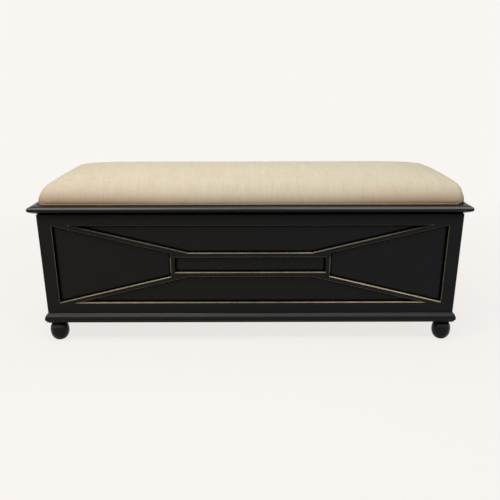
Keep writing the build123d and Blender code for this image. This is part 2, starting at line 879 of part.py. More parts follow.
# Folding lid stays: the left one is modelled and the right one is its mirror image
def stay_arm(layer_x, start, end):
    """A flat arm with round ends and a hole at each pivot."""
    middle = (start + end) * 0.5
    run = end - start
    with BuildPart() as arm:
        with BuildSketch(Plane.YZ.offset(layer_x)):
            with Locations((middle.X, middle.Y)):
                SlotCenterToCenter(run.length, stay_arm_width, rotation=degrees(atan2(run.Y, run.X)))
            with Locations((start.X, start.Y), (end.X, end.Y)):
                Circle(stay_pivot_radius + stay_pivot_play, mode=Mode.SUBTRACT)
        extrude(amount=stay_arm_thickness)
    return arm


box_bracket_top = box_top - box_bracket_top_drop
with BuildPart() as left_stay_box_bracket:
    with BuildSketch(Plane.YZ.offset(stay_wall_x)):
        with Locations((box_pivot.X, (box_pivot.Y + box_bracket_top) / 2)):
            Rectangle(box_bracket_width, box_bracket_top - box_pivot.Y)
        with Locations((box_pivot.X, box_pivot.Y)):
            Circle(box_bracket_width / 2)
    extrude(amount=stay_plate_thickness)
    stud_end_x = lower_arm_x + stay_arm_thickness + stay_head_play
    rod((stay_face_x, box_pivot.X, box_pivot.Y), stud_end_x - stay_face_x, stay_pivot_radius)
    rod((stud_end_x, box_pivot.X, box_pivot.Y), stay_head_thickness, stay_head_radius)
    place(small_hole, left_box_screws, mode=Mode.SUBTRACT)

with BuildPart() as left_stay_lid_bracket:
    with BuildSketch(Plane.YZ.offset(lid_ear_x)):
        with Locations((lid_pivot.X, (lid_pivot.Y + lid_z) / 2)):
            Rectangle(lid_bracket_ear_width, lid_z - lid_pivot.Y)
        with Locations((lid_pivot.X, lid_pivot.Y)):
            Circle(lid_bracket_ear_width / 2)
    extrude(amount=stay_plate_thickness)
    board(
        (lid_ear_x, lid_pivot.X - lid_bracket_length / 2, lid_bracket_screw_z),
        (lid_ear_x + lid_bracket_flange, lid_pivot.X + lid_bracket_length / 2, lid_z),
    )
    stud_end_x = upper_arm_x - stay_head_play
    rod((stud_end_x, lid_pivot.X, lid_pivot.Y), lid_ear_x - stud_end_x, stay_pivot_radius)
    rod((stud_end_x - stay_head_thickness, lid_pivot.X, lid_pivot.Y), stay_head_thickness, stay_head_radius)
    place(small_hole, left_lid_screws, mode=Mode.SUBTRACT)

left_stay_lower_arm = stay_arm(lower_arm_x, box_pivot, elbow)
left_stay_upper_arm = stay_arm(upper_arm_x, lid_pivot, elbow)

with BuildPart() as left_stay_rivet:
    rivet_start = lower_arm_x - stay_head_play
    rivet_end = upper_arm_x + stay_arm_thickness + stay_head_play
    rod((rivet_start, elbow.X, elbow.Y), rivet_end - rivet_start, stay_pivot_radius)
    rod((rivet_start - stay_head_thickness, elbow.X, elbow.Y), stay_head_thickness, stay_head_radius)
    rod((rivet_end, elbow.X, elbow.Y), stay_head_thickness, stay_head_radius)

for left_piece, name in (
    (left_stay_box_bracket, "stay_box_bracket"),
    (left_stay_lid_bracket, "stay_lid_bracket"),
    (left_stay_lower_arm, "stay_lower_arm"),
    (left_stay_upper_arm, "stay_upper_arm"),
    (left_stay_rivet, "stay_rivet"),
):
    write(left_piece, f"left_{name}")
    with BuildPart() as right_piece:
        mirror(left_piece.part, about=Plane.YZ)
    write(right_piece, f"right_{name}")

with BuildPart() as stay_box_screws:
    place(screw(small_screw), left_box_screws + right_box_screws)
write(stay_box_screws, "stay_box_screws")

with BuildPart() as stay_lid_screws:
    place(screw(small_screw), left_lid_screws + right_lid_screws)
write(stay_lid_screws, "stay_lid_screws")

pivots = {"hinge": hinge_point, "box pivot": box_pivot, "lid pivot": lid_pivot, "elbow": elbow}
for name, point in pivots.items():
    print(f"{name}: Y {point.X:.4f} mm, Z {point.Y:.4f} mm")
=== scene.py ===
from collections import namedtuple
from math import acos, atan2, cos, degrees, exp, pi, radians, sin

import bmesh
import bpy
import numpy as np
from bpy.props import FloatProperty, FloatVectorProperty, IntProperty, PointerProperty
from mathutils import Euler, Matrix, Vector


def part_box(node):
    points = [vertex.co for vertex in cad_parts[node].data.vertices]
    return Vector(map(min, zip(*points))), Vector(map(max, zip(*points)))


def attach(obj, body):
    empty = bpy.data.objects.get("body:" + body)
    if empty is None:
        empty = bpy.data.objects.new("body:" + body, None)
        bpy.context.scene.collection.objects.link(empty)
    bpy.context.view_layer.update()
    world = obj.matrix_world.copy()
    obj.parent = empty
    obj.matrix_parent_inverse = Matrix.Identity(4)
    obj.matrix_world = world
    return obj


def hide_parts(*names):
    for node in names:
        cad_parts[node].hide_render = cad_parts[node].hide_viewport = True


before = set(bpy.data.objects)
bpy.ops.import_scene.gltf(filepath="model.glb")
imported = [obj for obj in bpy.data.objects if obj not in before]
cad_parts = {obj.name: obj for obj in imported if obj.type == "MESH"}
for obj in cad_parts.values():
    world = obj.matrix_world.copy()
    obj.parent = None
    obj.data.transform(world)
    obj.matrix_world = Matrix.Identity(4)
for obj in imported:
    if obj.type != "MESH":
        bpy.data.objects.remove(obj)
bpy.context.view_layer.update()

bl_info = {
    "name": "Storage Bench",
    "version": (1, 0, 0),
    "blender": (4, 5, 0),
    "location": "3D View > Sidebar > Bench",
    "description": "Dresses the storage bench with paint, mouldings, feet, a linen seat and hardware",
    "category": "Object",
}

LID_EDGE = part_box("lid_front_moulding")
LID_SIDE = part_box("lid_left_moulding")
BASE_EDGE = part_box("base_front")
BASE_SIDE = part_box("base_left")
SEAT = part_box("seat_cover")
SEAT_MIDDLE = (SEAT[0] + SEAT[1]) / 2
SEAT_HALF = (SEAT[1] - SEAT[0]) / 2
TOP_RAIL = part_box("front_top_rail")
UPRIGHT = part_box("fret_right_upright")
BOX_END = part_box("front_right_stile")[1].x
FRONT_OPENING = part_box("front_right_stile")[0].x


# Sizes and colours

def length_property(label, description, default):
    """A size in metres."""
    return FloatProperty(name=label, description=description, default=default, unit="LENGTH")


def angle_property(label, description, default):
    """An angle, its default in degrees."""
    return FloatProperty(name=label, description=description, default=radians(default), subtype="ANGLE")


def share_property(label, description, default):
    """A share from 0 to 1."""
    return FloatProperty(
        name=label, description=description, default=default, min=0.0, max=1.0, subtype="FACTOR")


def number_property(label, description, default):
    """A plain number."""
    return FloatProperty(name=label, description=description, default=default)


def colour_property(label, description, default):
    """A linear colour."""
    return FloatVectorProperty(
        name=label, description=description, default=default, min=0.0, max=1.0, subtype="COLOR", size=3)


class PaintSettings(bpy.types.PropertyGroup):
    """The black paint, its rubbed edges, its painted highlights, shade and lamp tint, and its eased edges"""
    # Painted light: the black is tinted warm on the left and cool on the right, as the lamps' colours fall on
    # it.
    warm_lit_black: colour_property("Warm black", "Satin black painted with the warm lamp tint of the left", (0.0070, 0.0067, 0.0052))
    cool_lit_black: colour_property("Cool black", "Satin black painted with the cool lamp tint of the right", (0.0064, 0.0067, 0.0080))
    # Painted shade: the dull black mixed into nooks and recesses.
    nook_shade: colour_property("Nook shade", "Painted shade in the nooks", (0.0015, 0.0014, 0.0012))
    rubbed: colour_property(
        "Rubbed edge", "Tan gold that shows where the paint is rubbed off the edges", (0.47, 0.39, 0.26))
    # Painted highlight: the grey laid on the crest of a moulding where the lamps would catch it.
    wear_and_sheen: colour_property(
        "Crest highlight", "Grey painted on the crest of a moulding as a highlight", (0.150, 0.150, 0.148))
    # Painted highlight: grey laid on the down-facing edges.
    lower_edge_highlight: colour_property("Lower edge highlight", "Grey painted along the lower edges as a highlight", (0.50, 0.47, 0.41))
    roughness: share_property("Roughness", "Roughness of the paint", 0.27)
    gloss: share_property("Gloss", "Specular level of the paint", 0.13)
    eased_edge: length_property("Eased edge", "Rounding of the painted edges", 0.0005)


class MouldingSettings(bpy.types.PropertyGroup):
    """Profiles of the lid's edge and of the base"""
    lid_ledge: length_property("Lid ledge", "Width of the sloping top of the lid's edge", 0.024)
    lid_crown: length_property("Ledge crown", "Rise of the ledge's curve", 0.0017)
    nose_radius: length_property("Nose radius", "Radius of the lid's nose", 0.0075)
    nose_drop: length_property("Nose drop", "Nose centre below the lid's top", 0.009)
    under_turn: angle_property("Nose under turn", "Turn of the nose's curve below its widest level", 60)
    under_width: length_property("Nose under width", "From the nose to the lid's flat underside", 0.023)
    lid_rabbet: length_property("Rabbet", "Width and depth of the step that takes the lid panel", 0.012)
    base_projection: length_property("Base projection", "Base nose beyond the box", 0.009)
    base_step: length_property("Base step", "Flat between the box and the base's curve", 0.0005)
    base_nose_height: length_property("Base nose height", "Widest level of the base", 0.0105)
    base_under_radius: length_property("Base under radius", "Radius under the base's nose", 0.008)
    base_under_turn: angle_property("Base under turn", "Turn of the curve under the nose", 60)


class FootSettings(bpy.types.PropertyGroup):
    """Profile of the ball feet"""
    flat_radius: length_property("Flat radius", "Flat that stands on the floor", 0.0075)
    neck_radius: length_property("Neck radius", "Neck between ball and collar", 0.018)
    neck_height: length_property("Neck height", "Height of the neck", 0.0014)
    collar_radius: length_property("Collar radius", "Radius of the collar", 0.021)
    collar_height: length_property("Collar height", "Height of the collar", 0.004)
    fullness: number_property("Fullness", "Power of the ball's round, 2 is an ellipse", 2.25)


class SeatSettings(bpy.types.PropertyGroup):
    """Form, swelling, tucks and linen of the seat"""
    linen: colour_property("Linen", "Colour of the linen", (0.70, 0.602, 0.452))
    aged: colour_property("Aged", "Tint of the linen's blotches", (1.0, 0.965, 0.945))
    # Painted shade: the upright sides of the linen are darkened and warmed.
    side_shade: colour_property(
        "Side shade", "Painted shade on the upright sides", (0.93, 0.86, 0.84))
    # Painted shade: the linen darkens and warms where it meets the lid, most at the ends.
    hem_shade: colour_property("Hem shade", "Painted shade of the linen where it meets the lid", (0.72, 0.53, 0.41))
    side_height: length_property("Side height", "Height of the upright sides", 0.016)
    round_width: length_property("Round width", "Width of the rounded border", 0.074)
    round_height: length_property("Round height", "Height of the rounded border", 0.054)
    round_power: number_property("Round power", "Fullness of the border's curve", 1.67)
    dome: length_property("Dome", "Rise of the top inside the border", 0.0125)
    crown: length_property("Crown", "Half depth of the level middle of the top", 0.030)
    tuck: length_property("Tuck", "Draw of the cover at the lid", 0.0015)
    corner_radius: length_property("Corner radius", "Radius of the corners in plan", 0.020)
    shrink: length_property("Shrink", "How much smaller the form starts before it swells", 0.003)
    foot_shrink: share_property("Foot shrink", "Share of the shrink at the foot of the form", 0.3)
    left_bulge: length_property("Left bulge", "Extra stuffing of the left end", 0.0091)
    right_bulge: length_property("Right bulge", "Extra stuffing of the right end", 0.0205)
    right_shift: length_property("Right shift", "How far the whole right end stands out", 0.006)
    bulge_level: share_property("Bulge level", "Height of the fullest level of the ends", 0.65)
    bulge_spread: share_property("Bulge spread", "Height over which the ends are full", 0.20)
    end_fall: length_property("End fall", "How far the ends round back at the top", 0.0105)
    fall_level: share_property("Fall level", "Height at which the ends begin to round back", 0.60)
    voxel: length_property("Voxel", "Cell of the remeshed cover", 0.006)
    pressure: number_property("Pressure", "Pressure that swells the cover", 4.0)
    swell_limit: length_property("Swell limit", "Furthest that a point of the cover may move", 0.003)
    foam_give: length_property("Foam give", "How far the foam lets the cover sink", 0.001)
    slack: number_property("Slack", "Share by which the cover is cut larger than its form", 0.002)
    last_frame: IntProperty(name="Last frame", description="Frame at which the cover has settled", default=20)
    pleat_depth: length_property("Pleat depth", "Depth of the tucks at the corners", 0.0022)
    pleat_height: length_property("Pleat height", "Height of the tucks at the corners", 0.020)
    pleat_width: length_property("Pleat width", "Width of the tucks at the corners", 0.0035)
    thread: length_property("Thread", "Spacing of the linen's threads", 0.0009)


class HardwareSettings(bpy.types.PropertyGroup):
    """Metals, rubber, plywood and screws"""
    brass: colour_property("Brass", "Colour of the hinges", (0.66, 0.47, 0.22))
    steel: colour_property("Steel", "Colour of stays, studs and screws", (0.58, 0.57, 0.55))
    blackened: colour_property("Blackened steel", "Colour of the foot plates", (0.012, 0.012, 0.012))
    rubber: colour_property("Rubber", "Colour of the lid bumpers", (0.006, 0.006, 0.006))
    birch: colour_property("Birch plywood", "Colour of the plywood", (0.56, 0.41, 0.25))
    shank_length: number_property("Shank length", "Screw length in head radii", 4.4)
    recess_width: number_property("Recess width", "Width of the cross recess in head radii", 0.26)
    recess_length: number_property("Recess length", "Length of the cross recess in head radii", 1.15)
    recess_depth: number_property("Recess depth", "Depth of the cross recess in head radii", 0.42)


class StageSettings(bpy.types.PropertyGroup):
    """Floor, light from all round and camera"""
    background: colour_property("Background", "Pale colour of floor and surroundings", (0.947, 0.914, 0.888))
    ambient_tint: colour_property("Ambient tint", "Colour of the light from all round", (1.0, 0.92, 0.84))
    bounce: colour_property("Bounce", "Colour that the floor throws back on the bench", (0.30, 0.22, 0.15))
    ambient: number_property("Ambient", "Strength of the light from all round", 0.24)
    near_glow: share_property("Near glow", "Share of the floor's own light under the bench", 0.84)
    lens: FloatProperty(name="Lens", description="Focal length", default=39.68, unit="CAMERA")
    distance: length_property("Distance", "Camera in front of the lid's nose", 1.456)
    side: length_property("Side", "Camera beside the middle of the bench", -0.0007)
    height: length_property("Height", "Camera above the floor", 0.772)
    pitch: angle_property("Pitch", "Tilt of the camera from straight down", 71.72)
    roll: angle_property("Roll", "Roll of the camera", -0.13)


class BenchSettings(bpy.types.PropertyGroup):
    """All settings of the bench"""
    paint: PointerProperty(name="Paint", description="Paint and wear", type=PaintSettings)
    moulding: PointerProperty(name="Mouldings", description="Lid's edge and base", type=MouldingSettings)
    foot: PointerProperty(name="Feet", description="Ball feet", type=FootSettings)
    seat: PointerProperty(name="Seat", description="Linen seat", type=SeatSettings)
    hardware: PointerProperty(name="Hardware", description="Fittings and plywood", type=HardwareSettings)
    stage: PointerProperty(name="Stage", description="Floor, light and camera", type=StageSettings)


# Node trees

class Signal:
    """An output socket; arithmetic on it adds Math nodes to its tree."""

    def __init__(self, graph, socket):
        self.graph = graph
        self.socket = socket

    def other(self, key):
        """Another output of the same node."""
        return Signal(self.graph, self.socket.node.outputs[key])

    def __add__(self, value):
        return self.graph.math("ADD", self, value)

    def __sub__(self, value):
        return self.graph.math("SUBTRACT", self, value)

    def __rsub__(self, value):
        return self.graph.math("SUBTRACT", value, self)

    def __mul__(self, value):
        return self.graph.math("MULTIPLY", self, value)

    def __truediv__(self, value):
        return self.graph.math("DIVIDE", self, value)

    def __neg__(self):
        return self.graph.math("MULTIPLY", self, -1.0)

    def __abs__(self):
        return self.graph.math("ABSOLUTE", self)

    __radd__ = __add__
    __rmul__ = __mul__


class Graph:
    """A node tree being built, of a material, the world or a geometry group."""

    def __init__(self, tree):
        self.tree = tree

    def node(self, kind, settings=None, sockets=None, output=0):
        """Add a node, make its settings, then set or link its sockets; gives one of its outputs."""
        made = self.tree.nodes.new(kind)
        for key, value in (settings or {}).items():
            if key == "stops":
                self.set_stops(made.color_ramp, value)
            else:
                setattr(made, key, value)
        for key, value in (sockets or {}).items():
            for item in value if isinstance(value, list) else [value]:
                if isinstance(item, Signal):
                    self.tree.links.new(item.socket, made.inputs[key])
                else:
                    made.inputs[key].default_value = item
        return Signal(self, made.outputs[output]) if made.outputs else made

    @staticmethod
    def set_stops(ramp, stops):
        """Place a ramp's stops."""
        for index, (place, colour) in enumerate(stops):
            stop = ramp.elements[index] if index < 2 else ramp.elements.new(place)
            stop.position = place
            stop.color = colour

    def math(self, operation, *terms):
        return self.node("ShaderNodeMath", {"operation": operation}, dict(enumerate(terms)))


class Finish(Graph):
    """A procedural material: one Principled shader and the patterns that feed it."""

    def __init__(self, name, constants):
        self.material = bpy.data.materials.new(name)
        self.material.use_nodes = True
        super().__init__(self.material.node_tree)
        self.shader = self.tree.nodes["Principled BSDF"]
        for key, value in constants.items():
            self.shader.inputs[key].default_value = value
        self.place = self.node("ShaderNodeTexCoord", output="Object")
        self.x = self.node("ShaderNodeSeparateXYZ", None, {0: self.place})
        self.y = self.x.other("Y")
        self.z = self.x.other("Z")

    def feed(self, key, value):
        self.tree.links.new(value.socket, self.shader.inputs[key])

    def stretch(self, scale, vector=None):
        """Coordinates multiplied axis by axis."""
        return self.node("ShaderNodeVectorMath", {"operation": "MULTIPLY"}, {
            0: vector or self.place, 1: scale})

    def noise(self, vector, scale=1.0, detail=2.0, roughness=0.5):
        return self.node("ShaderNodeTexNoise", None, {
            "Vector": vector, "Scale": scale, "Detail": detail, "Roughness": roughness})

    def rise(self, value, low, high):
        """A smooth step from 0 at low to 1 at high."""
        return self.node("ShaderNodeMapRange", {"interpolation_type": "SMOOTHSTEP"}, {
            0: value, 1: low, 2: high})

    def spread(self, value, low, high):
        """A 0 to 1 value taken to a range."""
        return self.node("ShaderNodeMapRange", None, {0: value, 3: low, 4: high})

    def blend(self, factor, first, second):
        """A mix of two colours."""
        return self.node("ShaderNodeMix", {"data_type": "RGBA"}, {0: factor, 6: first, 7: second}, output=2)

    def vary(self, factor, rgb, low, high):
        """A colour between two strengths."""
        return self.blend(factor, colour(rgb, low), colour(rgb, high))

    def tint(self, factor, tone, rgb):
        """A colour multiplied by another, by a share."""
        return self.node("ShaderNodeMix", {"data_type": "RGBA", "blend_type": "MULTIPLY"},
                         {0: factor, 6: tone, 7: (*rgb, 1.0)}, output=2)

    def openness(self, reach):
        """One in the open, less where other surfaces stand within reach."""
        return self.node("ShaderNodeAmbientOcclusion", {"samples": 8}, {"Distance": reach}, output="AO")

    def lean(self, middle, ends, slant):
        """A strength from the middle of the bench to its ends; a slant adds to it on the right."""
        most = 1.15
        return self.math("MINIMUM", middle + abs(self.x) * ends, most) + self.x * slant

    def paint_nook_shade(self, reach, bare, black):
        """Mix in painted shade, a dull black, where the surface is hemmed in by others within reach."""
        hemmed_in = 0.66
        in_the_open = 0.96
        nook = (1 - self.rise(self.openness(reach), hemmed_in, in_the_open)) * bare
        painted_shade = self.node("ShaderNodeBsdfPrincipled", None, {
            "Base Color": black, "Roughness": 0.9, "Specular IOR Level": 0.0})
        paint_shader = Signal(self, self.shader.outputs[0])
        mixed = self.node("ShaderNodeMixShader", None, {0: nook, 1: paint_shader, 2: painted_shade})
        self.tree.links.new(mixed.socket, self.tree.nodes["Material Output"].inputs["Surface"])

    def bump(self, height, distance, strength, normal=None):
        sockets = {"Height": height, "Distance": distance, "Strength": strength}
        if normal:
            sockets["Normal"] = normal
        return self.node("ShaderNodeBump", None, sockets)


def colour(rgb, strength=1.0):
    """A property's colour with alpha, lightened or darkened."""
    return (rgb[0] * strength, rgb[1] * strength, rgb[2] * strength, 1.0)


# Objects

def new_object(name, mesh, material=None):
    made = bpy.data.objects.new(name, mesh)
    bpy.context.scene.collection.objects.link(made)
    if material:
        mesh.materials.clear()
        mesh.materials.append(material)
    return made


def evaluated_mesh(holder):
    """The mesh of an object with its modifiers applied."""
    graph = bpy.context.evaluated_depsgraph_get()
    return bpy.data.meshes.new_from_object(holder.evaluated_get(graph), depsgraph=graph)


def geometry_tree(name, sockets):
    """A geometry group with named inputs; gives its graph, its inputs and their identifiers."""
    tree = bpy.data.node_groups.new(name, "GeometryNodeTree")
    identifiers = {}
    tree.interface.new_socket("Geometry", in_out="INPUT", socket_type="NodeSocketGeometry")
    for label, kind in sockets.items():
        socket = tree.interface.new_socket(label, in_out="INPUT", socket_type=kind)
        identifiers[label] = socket.identifier
    tree.interface.new_socket("Geometry", in_out="OUTPUT", socket_type="NodeSocketGeometry")
    graph = Graph(tree)
    inputs = graph.node("NodeGroupInput")
    return graph, inputs, identifiers


def end_tree(graph, inputs, geometry):
    """Realise the instances, set the material and close the group."""
    real = graph.node("GeometryNodeRealizeInstances", None, {0: geometry})
    dressed = graph.node("GeometryNodeSetMaterial", None, {0: real, "Material": inputs.other("Material")})
    graph.node("NodeGroupOutput", None, {0: dressed})


def grown_mesh(name, host, graph, identifiers, values):
    """Run a geometry group on a host mesh and give the plain mesh that it makes."""
    holder = new_object(name, host)
    modifier = holder.modifiers.new(name, "NODES")
    modifier.node_group = graph.tree
    for label, value in values.items():
        modifier[identifiers[label]] = value
    mesh = evaluated_mesh(holder)
    holder.modifiers.clear()
    bpy.data.objects.remove(holder)
    return mesh


def ease(piece, width):
    """Round the sharp edges of a piece."""
    bevel = piece.modifiers.new("Eased edges", "BEVEL")
    bevel.width = width
    bevel.segments = 2
    bevel.limit_method = "ANGLE"
    bevel.angle_limit = radians(30)
    bevel.harden_normals = True


def point_values(mesh, key):
    """Places or normals of a mesh's points, a row for each."""
    values = np.empty(len(mesh.vertices) * 3)
    mesh.vertices.foreach_get(key, values)
    return values.reshape(-1, 3)


def arc(centre, radius, start, end, steps):
    """Points on an arc, angles in degrees."""
    turns = [radians(start + (end - start) * step / steps) for step in range(steps + 1)]
    return [(centre[0] + radius * cos(turn), centre[1] + radius * sin(turn)) for turn in turns]


# Finishes

# How far a surface leans to an axis, from 0 to 1, where it counts as a chamfer and as a flat face.
CHAMFER = (0.40, 0.60)
FLAT = (0.84, 0.94)

# Levels on the top rail, and depths behind the front and the ends of the box, over which the rubbing stops;
# the fade over these depths is partly painted shade at the back of each ledge.
RUB_LEVEL = (TOP_RAIL[0].z + 0.010, TOP_RAIL[0].z + 0.014)
RUB_DEPTH = (0.0040, 0.0095)

# Upward lean between which a moulding's crest gets a painted grey highlight, and how strongly at its middle
# and towards its ends.
Crest = namedtuple("Crest", "low high middle ends slant")
LID_CREST = Crest(low=0.35, high=0.78, middle=0.60, ends=1.20, slant=0.30)
BASE_CREST = Crest(low=0.46, high=0.54, middle=0.40, ends=0.0, slant=-0.10)
FOOT_CREST = Crest(low=0.45, high=0.80, middle=0.15, ends=0.0, slant=-0.10)


def crest_highlight(finish, level, crest, patches, brush):
    """One where the crest of a moulding gets a painted grey highlight."""
    wear_and_sheen = finish.rise(level, crest.low - 0.22, crest.low)
    wear_and_sheen = wear_and_sheen * (1 - finish.rise(level, crest.high, crest.high + 0.20))
    wear_and_sheen = wear_and_sheen * finish.spread(patches, 0.70, 1.25) * finish.spread(brush, 0.80, 1.20)
    return wear_and_sheen * finish.lean(crest.middle, crest.ends, crest.slant)


def open_edges(finish, across, level, up, side, outward, corner_shade):
    """The share to which an edge that faces up or sideways is rubbed; its fade towards the back of a ledge is
    partly painted shade.
    """
    below_top = 1 - finish.rise(finish.z, *RUB_LEVEL)
    depth = finish.math("MINIMUM", finish.y - TOP_RAIL[0].y, BOX_END - abs(finish.x))
    shallow = 1 - finish.rise(depth, *RUB_DEPTH)
    sideways = across * finish.x / UPRIGHT[1].x if outward else abs(across)
    chamfer = 1 - finish.rise(abs(across), *FLAT)
    lying = finish.rise(level, *CHAMFER) * below_top * shallow * up
    edge = lying + finish.rise(sideways, *CHAMFER) * chamfer * side
    # Painted shade: the rubbing fades out towards the acute corners of the upper diagonals.
    if corner_shade:
        faded = 0.90
        edge = edge * (1 - finish.rise(abs(finish.x), UPRIGHT[1].x, FRONT_OPENING) * faded)
    return edge


def paint(settings, name, along, up=0.0, side=0.0, down=0.0, slant=0.12, gilt=1.0,
          outward=False, corner_shade=False, crest=None, nook=0.010):
    """Black satin paint with brush marks along an axis, tinted warm on the left and cool on the right as
    painted lamp light, with painted shade in its nooks. Its up and side edges are rubbed to tan gold, and its
    down edges and the crest of a moulding carry a painted grey highlight."""
    finish = Finish(name, {"Specular IOR Level": settings.gloss})
    brush_across = 900.0
    brush_along = 14.0
    marks = [brush_across] * 3
    marks["xyz".index(along)] = brush_along
    brush = finish.noise(finish.stretch(tuple(marks)), detail=3.0, roughness=0.6)
    cloud = finish.noise(finish.place, scale=9.0, detail=4.0, roughness=0.6)
    patches = finish.noise(finish.place, scale=16.0, detail=3.0, roughness=0.65)
    # Painted light: the black blends from the warm lamp tint on the left to the cool one on the right.
    warm = finish.vary(cloud, settings.warm_lit_black, 0.75, 1.25)
    cool = finish.vary(cloud, settings.cool_lit_black, 0.75, 1.25)
    tone = finish.blend(finish.rise(finish.x, -0.45, 0.45), warm, cool)
    roughness = settings.roughness + (brush - 0.5) * 0.16 + (cloud - 0.5) * 0.12
    normal = finish.node("ShaderNodeTexCoord", output="Normal")
    across = finish.node("ShaderNodeSeparateXYZ", None, {0: normal})
    level = across.other("Z")
    bare = 1.0
    if crest:
        # Painted highlight: the crest of the moulding is lightened to grey where the lamps would glint on it.
        tone = finish.blend(crest_highlight(finish, level, crest, patches, brush), tone, colour(settings.wear_and_sheen))
    if up or side or down:
        # Painted highlight: the down-facing chamfers are lightened to grey, in patches.
        hanging = finish.rise(-level, *CHAMFER) * (1 - finish.rise(-level, *FLAT))
        hanging = finish.math("MINIMUM", hanging * finish.spread(patches, 0.55, 1.30) * down, 1.0)
        tone = finish.blend(hanging, tone, colour(settings.lower_edge_highlight))
        specks = finish.noise(finish.place, scale=420.0, detail=2.0)
        rubbed = open_edges(finish, across, level, up, side, outward, corner_shade)
        # The rubbing's rise to the right is partly painted light, where the lamps make the rubbed edges
        # brighter.
        rubbed = rubbed * finish.lean(middle=0.66, ends=1.05, slant=slant)
        rubbed = rubbed * finish.spread(patches, 0.45, 1.40) * finish.spread(specks, 0.70, 1.30)
        rubbed = finish.math("MINIMUM", rubbed, 1.0)
        tone = finish.blend(rubbed, tone, finish.vary(patches, settings.rubbed, gilt * 0.85, gilt * 1.15))
        roughness = roughness + rubbed * 0.12
        bare = (1 - rubbed) * (1 - hanging)
    finish.feed("Base Color", tone)
    finish.feed("Roughness", roughness)
    finish.feed("Normal", finish.bump(brush, 0.00012, 0.35))
    # Painted shade: a dull black in the nooks where edges and recesses would cast shade.
    finish.paint_nook_shade(nook, bare, colour(settings.nook_shade))
    return finish.material


def linen(settings):
    """Beige linen: a plain weave with slubs and streaks, laid along the cover's own threads, with painted
    shade on its upright sides and where it meets the lid.
    """
    finish = Finish("seat_linen", {"Specular IOR Level": 0.12, "Sheen Weight": 0.12, "Sheen Roughness": 0.5})
    threads = finish.node("ShaderNodeAttribute", {"attribute_name": "threads"}, output="Vector")
    warp = finish.node("ShaderNodeSeparateXYZ", None, {0: threads})
    weft = warp.other("Y")
    streaks = finish.noise(finish.stretch((140.0, 13.0, 1.0), threads), detail=4.0, roughness=0.65)
    bands = finish.noise(finish.stretch((36.0, 5.0, 1.0), threads), detail=2.0)
    slubs = finish.noise(finish.stretch((26.0, 420.0, 1.0), threads), detail=3.0)
    fibres = finish.noise(finish.stretch((950.0, 700.0, 1.0), threads), detail=2.0)
    blotches = finish.noise(finish.place, scale=34.0, detail=3.0, roughness=0.6)
    turn = pi / settings.thread
    weave = finish.math("SINE", warp * turn) * finish.math("SINE", weft * turn)
    shade = (streaks - 0.5) * 0.75 + (bands - 0.5) * 0.30 + (slubs - 0.5) * 0.40 + (fibres - 0.5) * 0.35
    shade = finish.math("MINIMUM", finish.math("MAXIMUM", shade + 0.5, 0.0), 1.0)
    tone = finish.vary(shade, settings.linen, 0.82, 1.14)
    tone = finish.tint(finish.rise(blotches, 0.45, 0.65), tone, settings.aged)
    ends = finish.rise(abs(finish.x), 0.15, 0.50)
    normal = finish.node("ShaderNodeTexCoord", output="Normal")
    level = finish.node("ShaderNodeSeparateXYZ", None, {0: normal}, output="Z")
    # Painted shade: side-facing linen is darkened and warmed, most at the ends.
    upright = (1 - finish.rise(level, 0.35, 0.95)) * finish.spread(ends, 0.25, 1.0)
    tone = finish.tint(upright, tone, settings.side_shade)
    # Painted shade: darker and warmer where the lid hems the linen in, stronger towards the ends.
    hem_shade = (1 - finish.rise(finish.openness(0.050), 0.50, 1.0)) * finish.spread(ends, 0.30, 1.15)
    tone = finish.tint(finish.math("MINIMUM", hem_shade, 1.0), tone, settings.hem_shade)
    finish.feed("Base Color", tone)
    finish.feed("Roughness", finish.spread(streaks, 0.80, 0.96))
    height = weave * 0.5 + slubs * 0.6 + streaks * 0.8
    finish.feed("Normal", finish.bump(height, 0.0005, 0.45))
    return finish.material


def metal(name, rgb, roughness, stain):
    """Plated metal, faintly brushed, with stained patches."""
    finish = Finish(name, {"Metallic": 1.0})
    brushed = finish.noise(finish.stretch((60.0, 900.0, 900.0)), detail=2.0)
    patches = finish.noise(finish.place, scale=70.0, detail=4.0, roughness=0.65)
    wear_and_sheen = finish.rise(patches, 0.50, 0.72)
    finish.feed("Base Color", finish.vary(wear_and_sheen, rgb, 1.0, stain))
    finish.feed("Roughness", roughness + (brushed - 0.5) * 0.20 + wear_and_sheen * 0.12)
    finish.feed("Normal", finish.bump(brushed, 0.00005, 0.30))
    return finish.material


def plywood(settings):
    """Pale plywood with long grain."""
    finish = Finish("birch_plywood", {"Specular IOR Level": 0.30})
    figure = finish.noise(finish.stretch((2.2, 26.0, 26.0)), detail=5.0, roughness=0.62)
    pores = finish.noise(finish.stretch((45.0, 1400.0, 1400.0)), detail=2.0)
    grain = finish.node("ShaderNodeValToRGB", {"stops": [
        (0.30, colour(settings.birch, 0.72)),
        (0.70, colour(settings.birch, 1.12)),
        (0.52, colour(settings.birch))]}, {0: figure})
    tone = finish.blend(finish.rise(pores, 0.60, 0.75) * 0.45, grain, colour(settings.birch, 0.45))
    finish.feed("Base Color", tone)
    finish.feed("Roughness", finish.spread(figure, 0.52, 0.72))
    finish.feed("Normal", finish.bump(pores, 0.0002, 0.35))
    return finish.material


def rubber(settings):
    """Moulded rubber with a fine grain."""
    finish = Finish("moulded_rubber", {"Specular IOR Level": 0.15})
    grain = finish.noise(finish.place, scale=2200.0, detail=2.0)
    dust = finish.noise(finish.place, scale=160.0, detail=3.0)
    finish.feed("Base Color", finish.vary(dust, settings.rubber, 0.8, 1.4))
    finish.feed("Roughness", finish.spread(dust, 0.58, 0.78))
    finish.feed("Normal", finish.bump(grain, 0.0001, 0.4))
    return finish.material


def dress(names, material):
    """Give CAD pieces a material."""
    for name in names:
        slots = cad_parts[name].material_slots
        for slot in slots:
            slot.material = material
        if not slots:
            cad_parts[name].data.materials.append(material)


# Operators

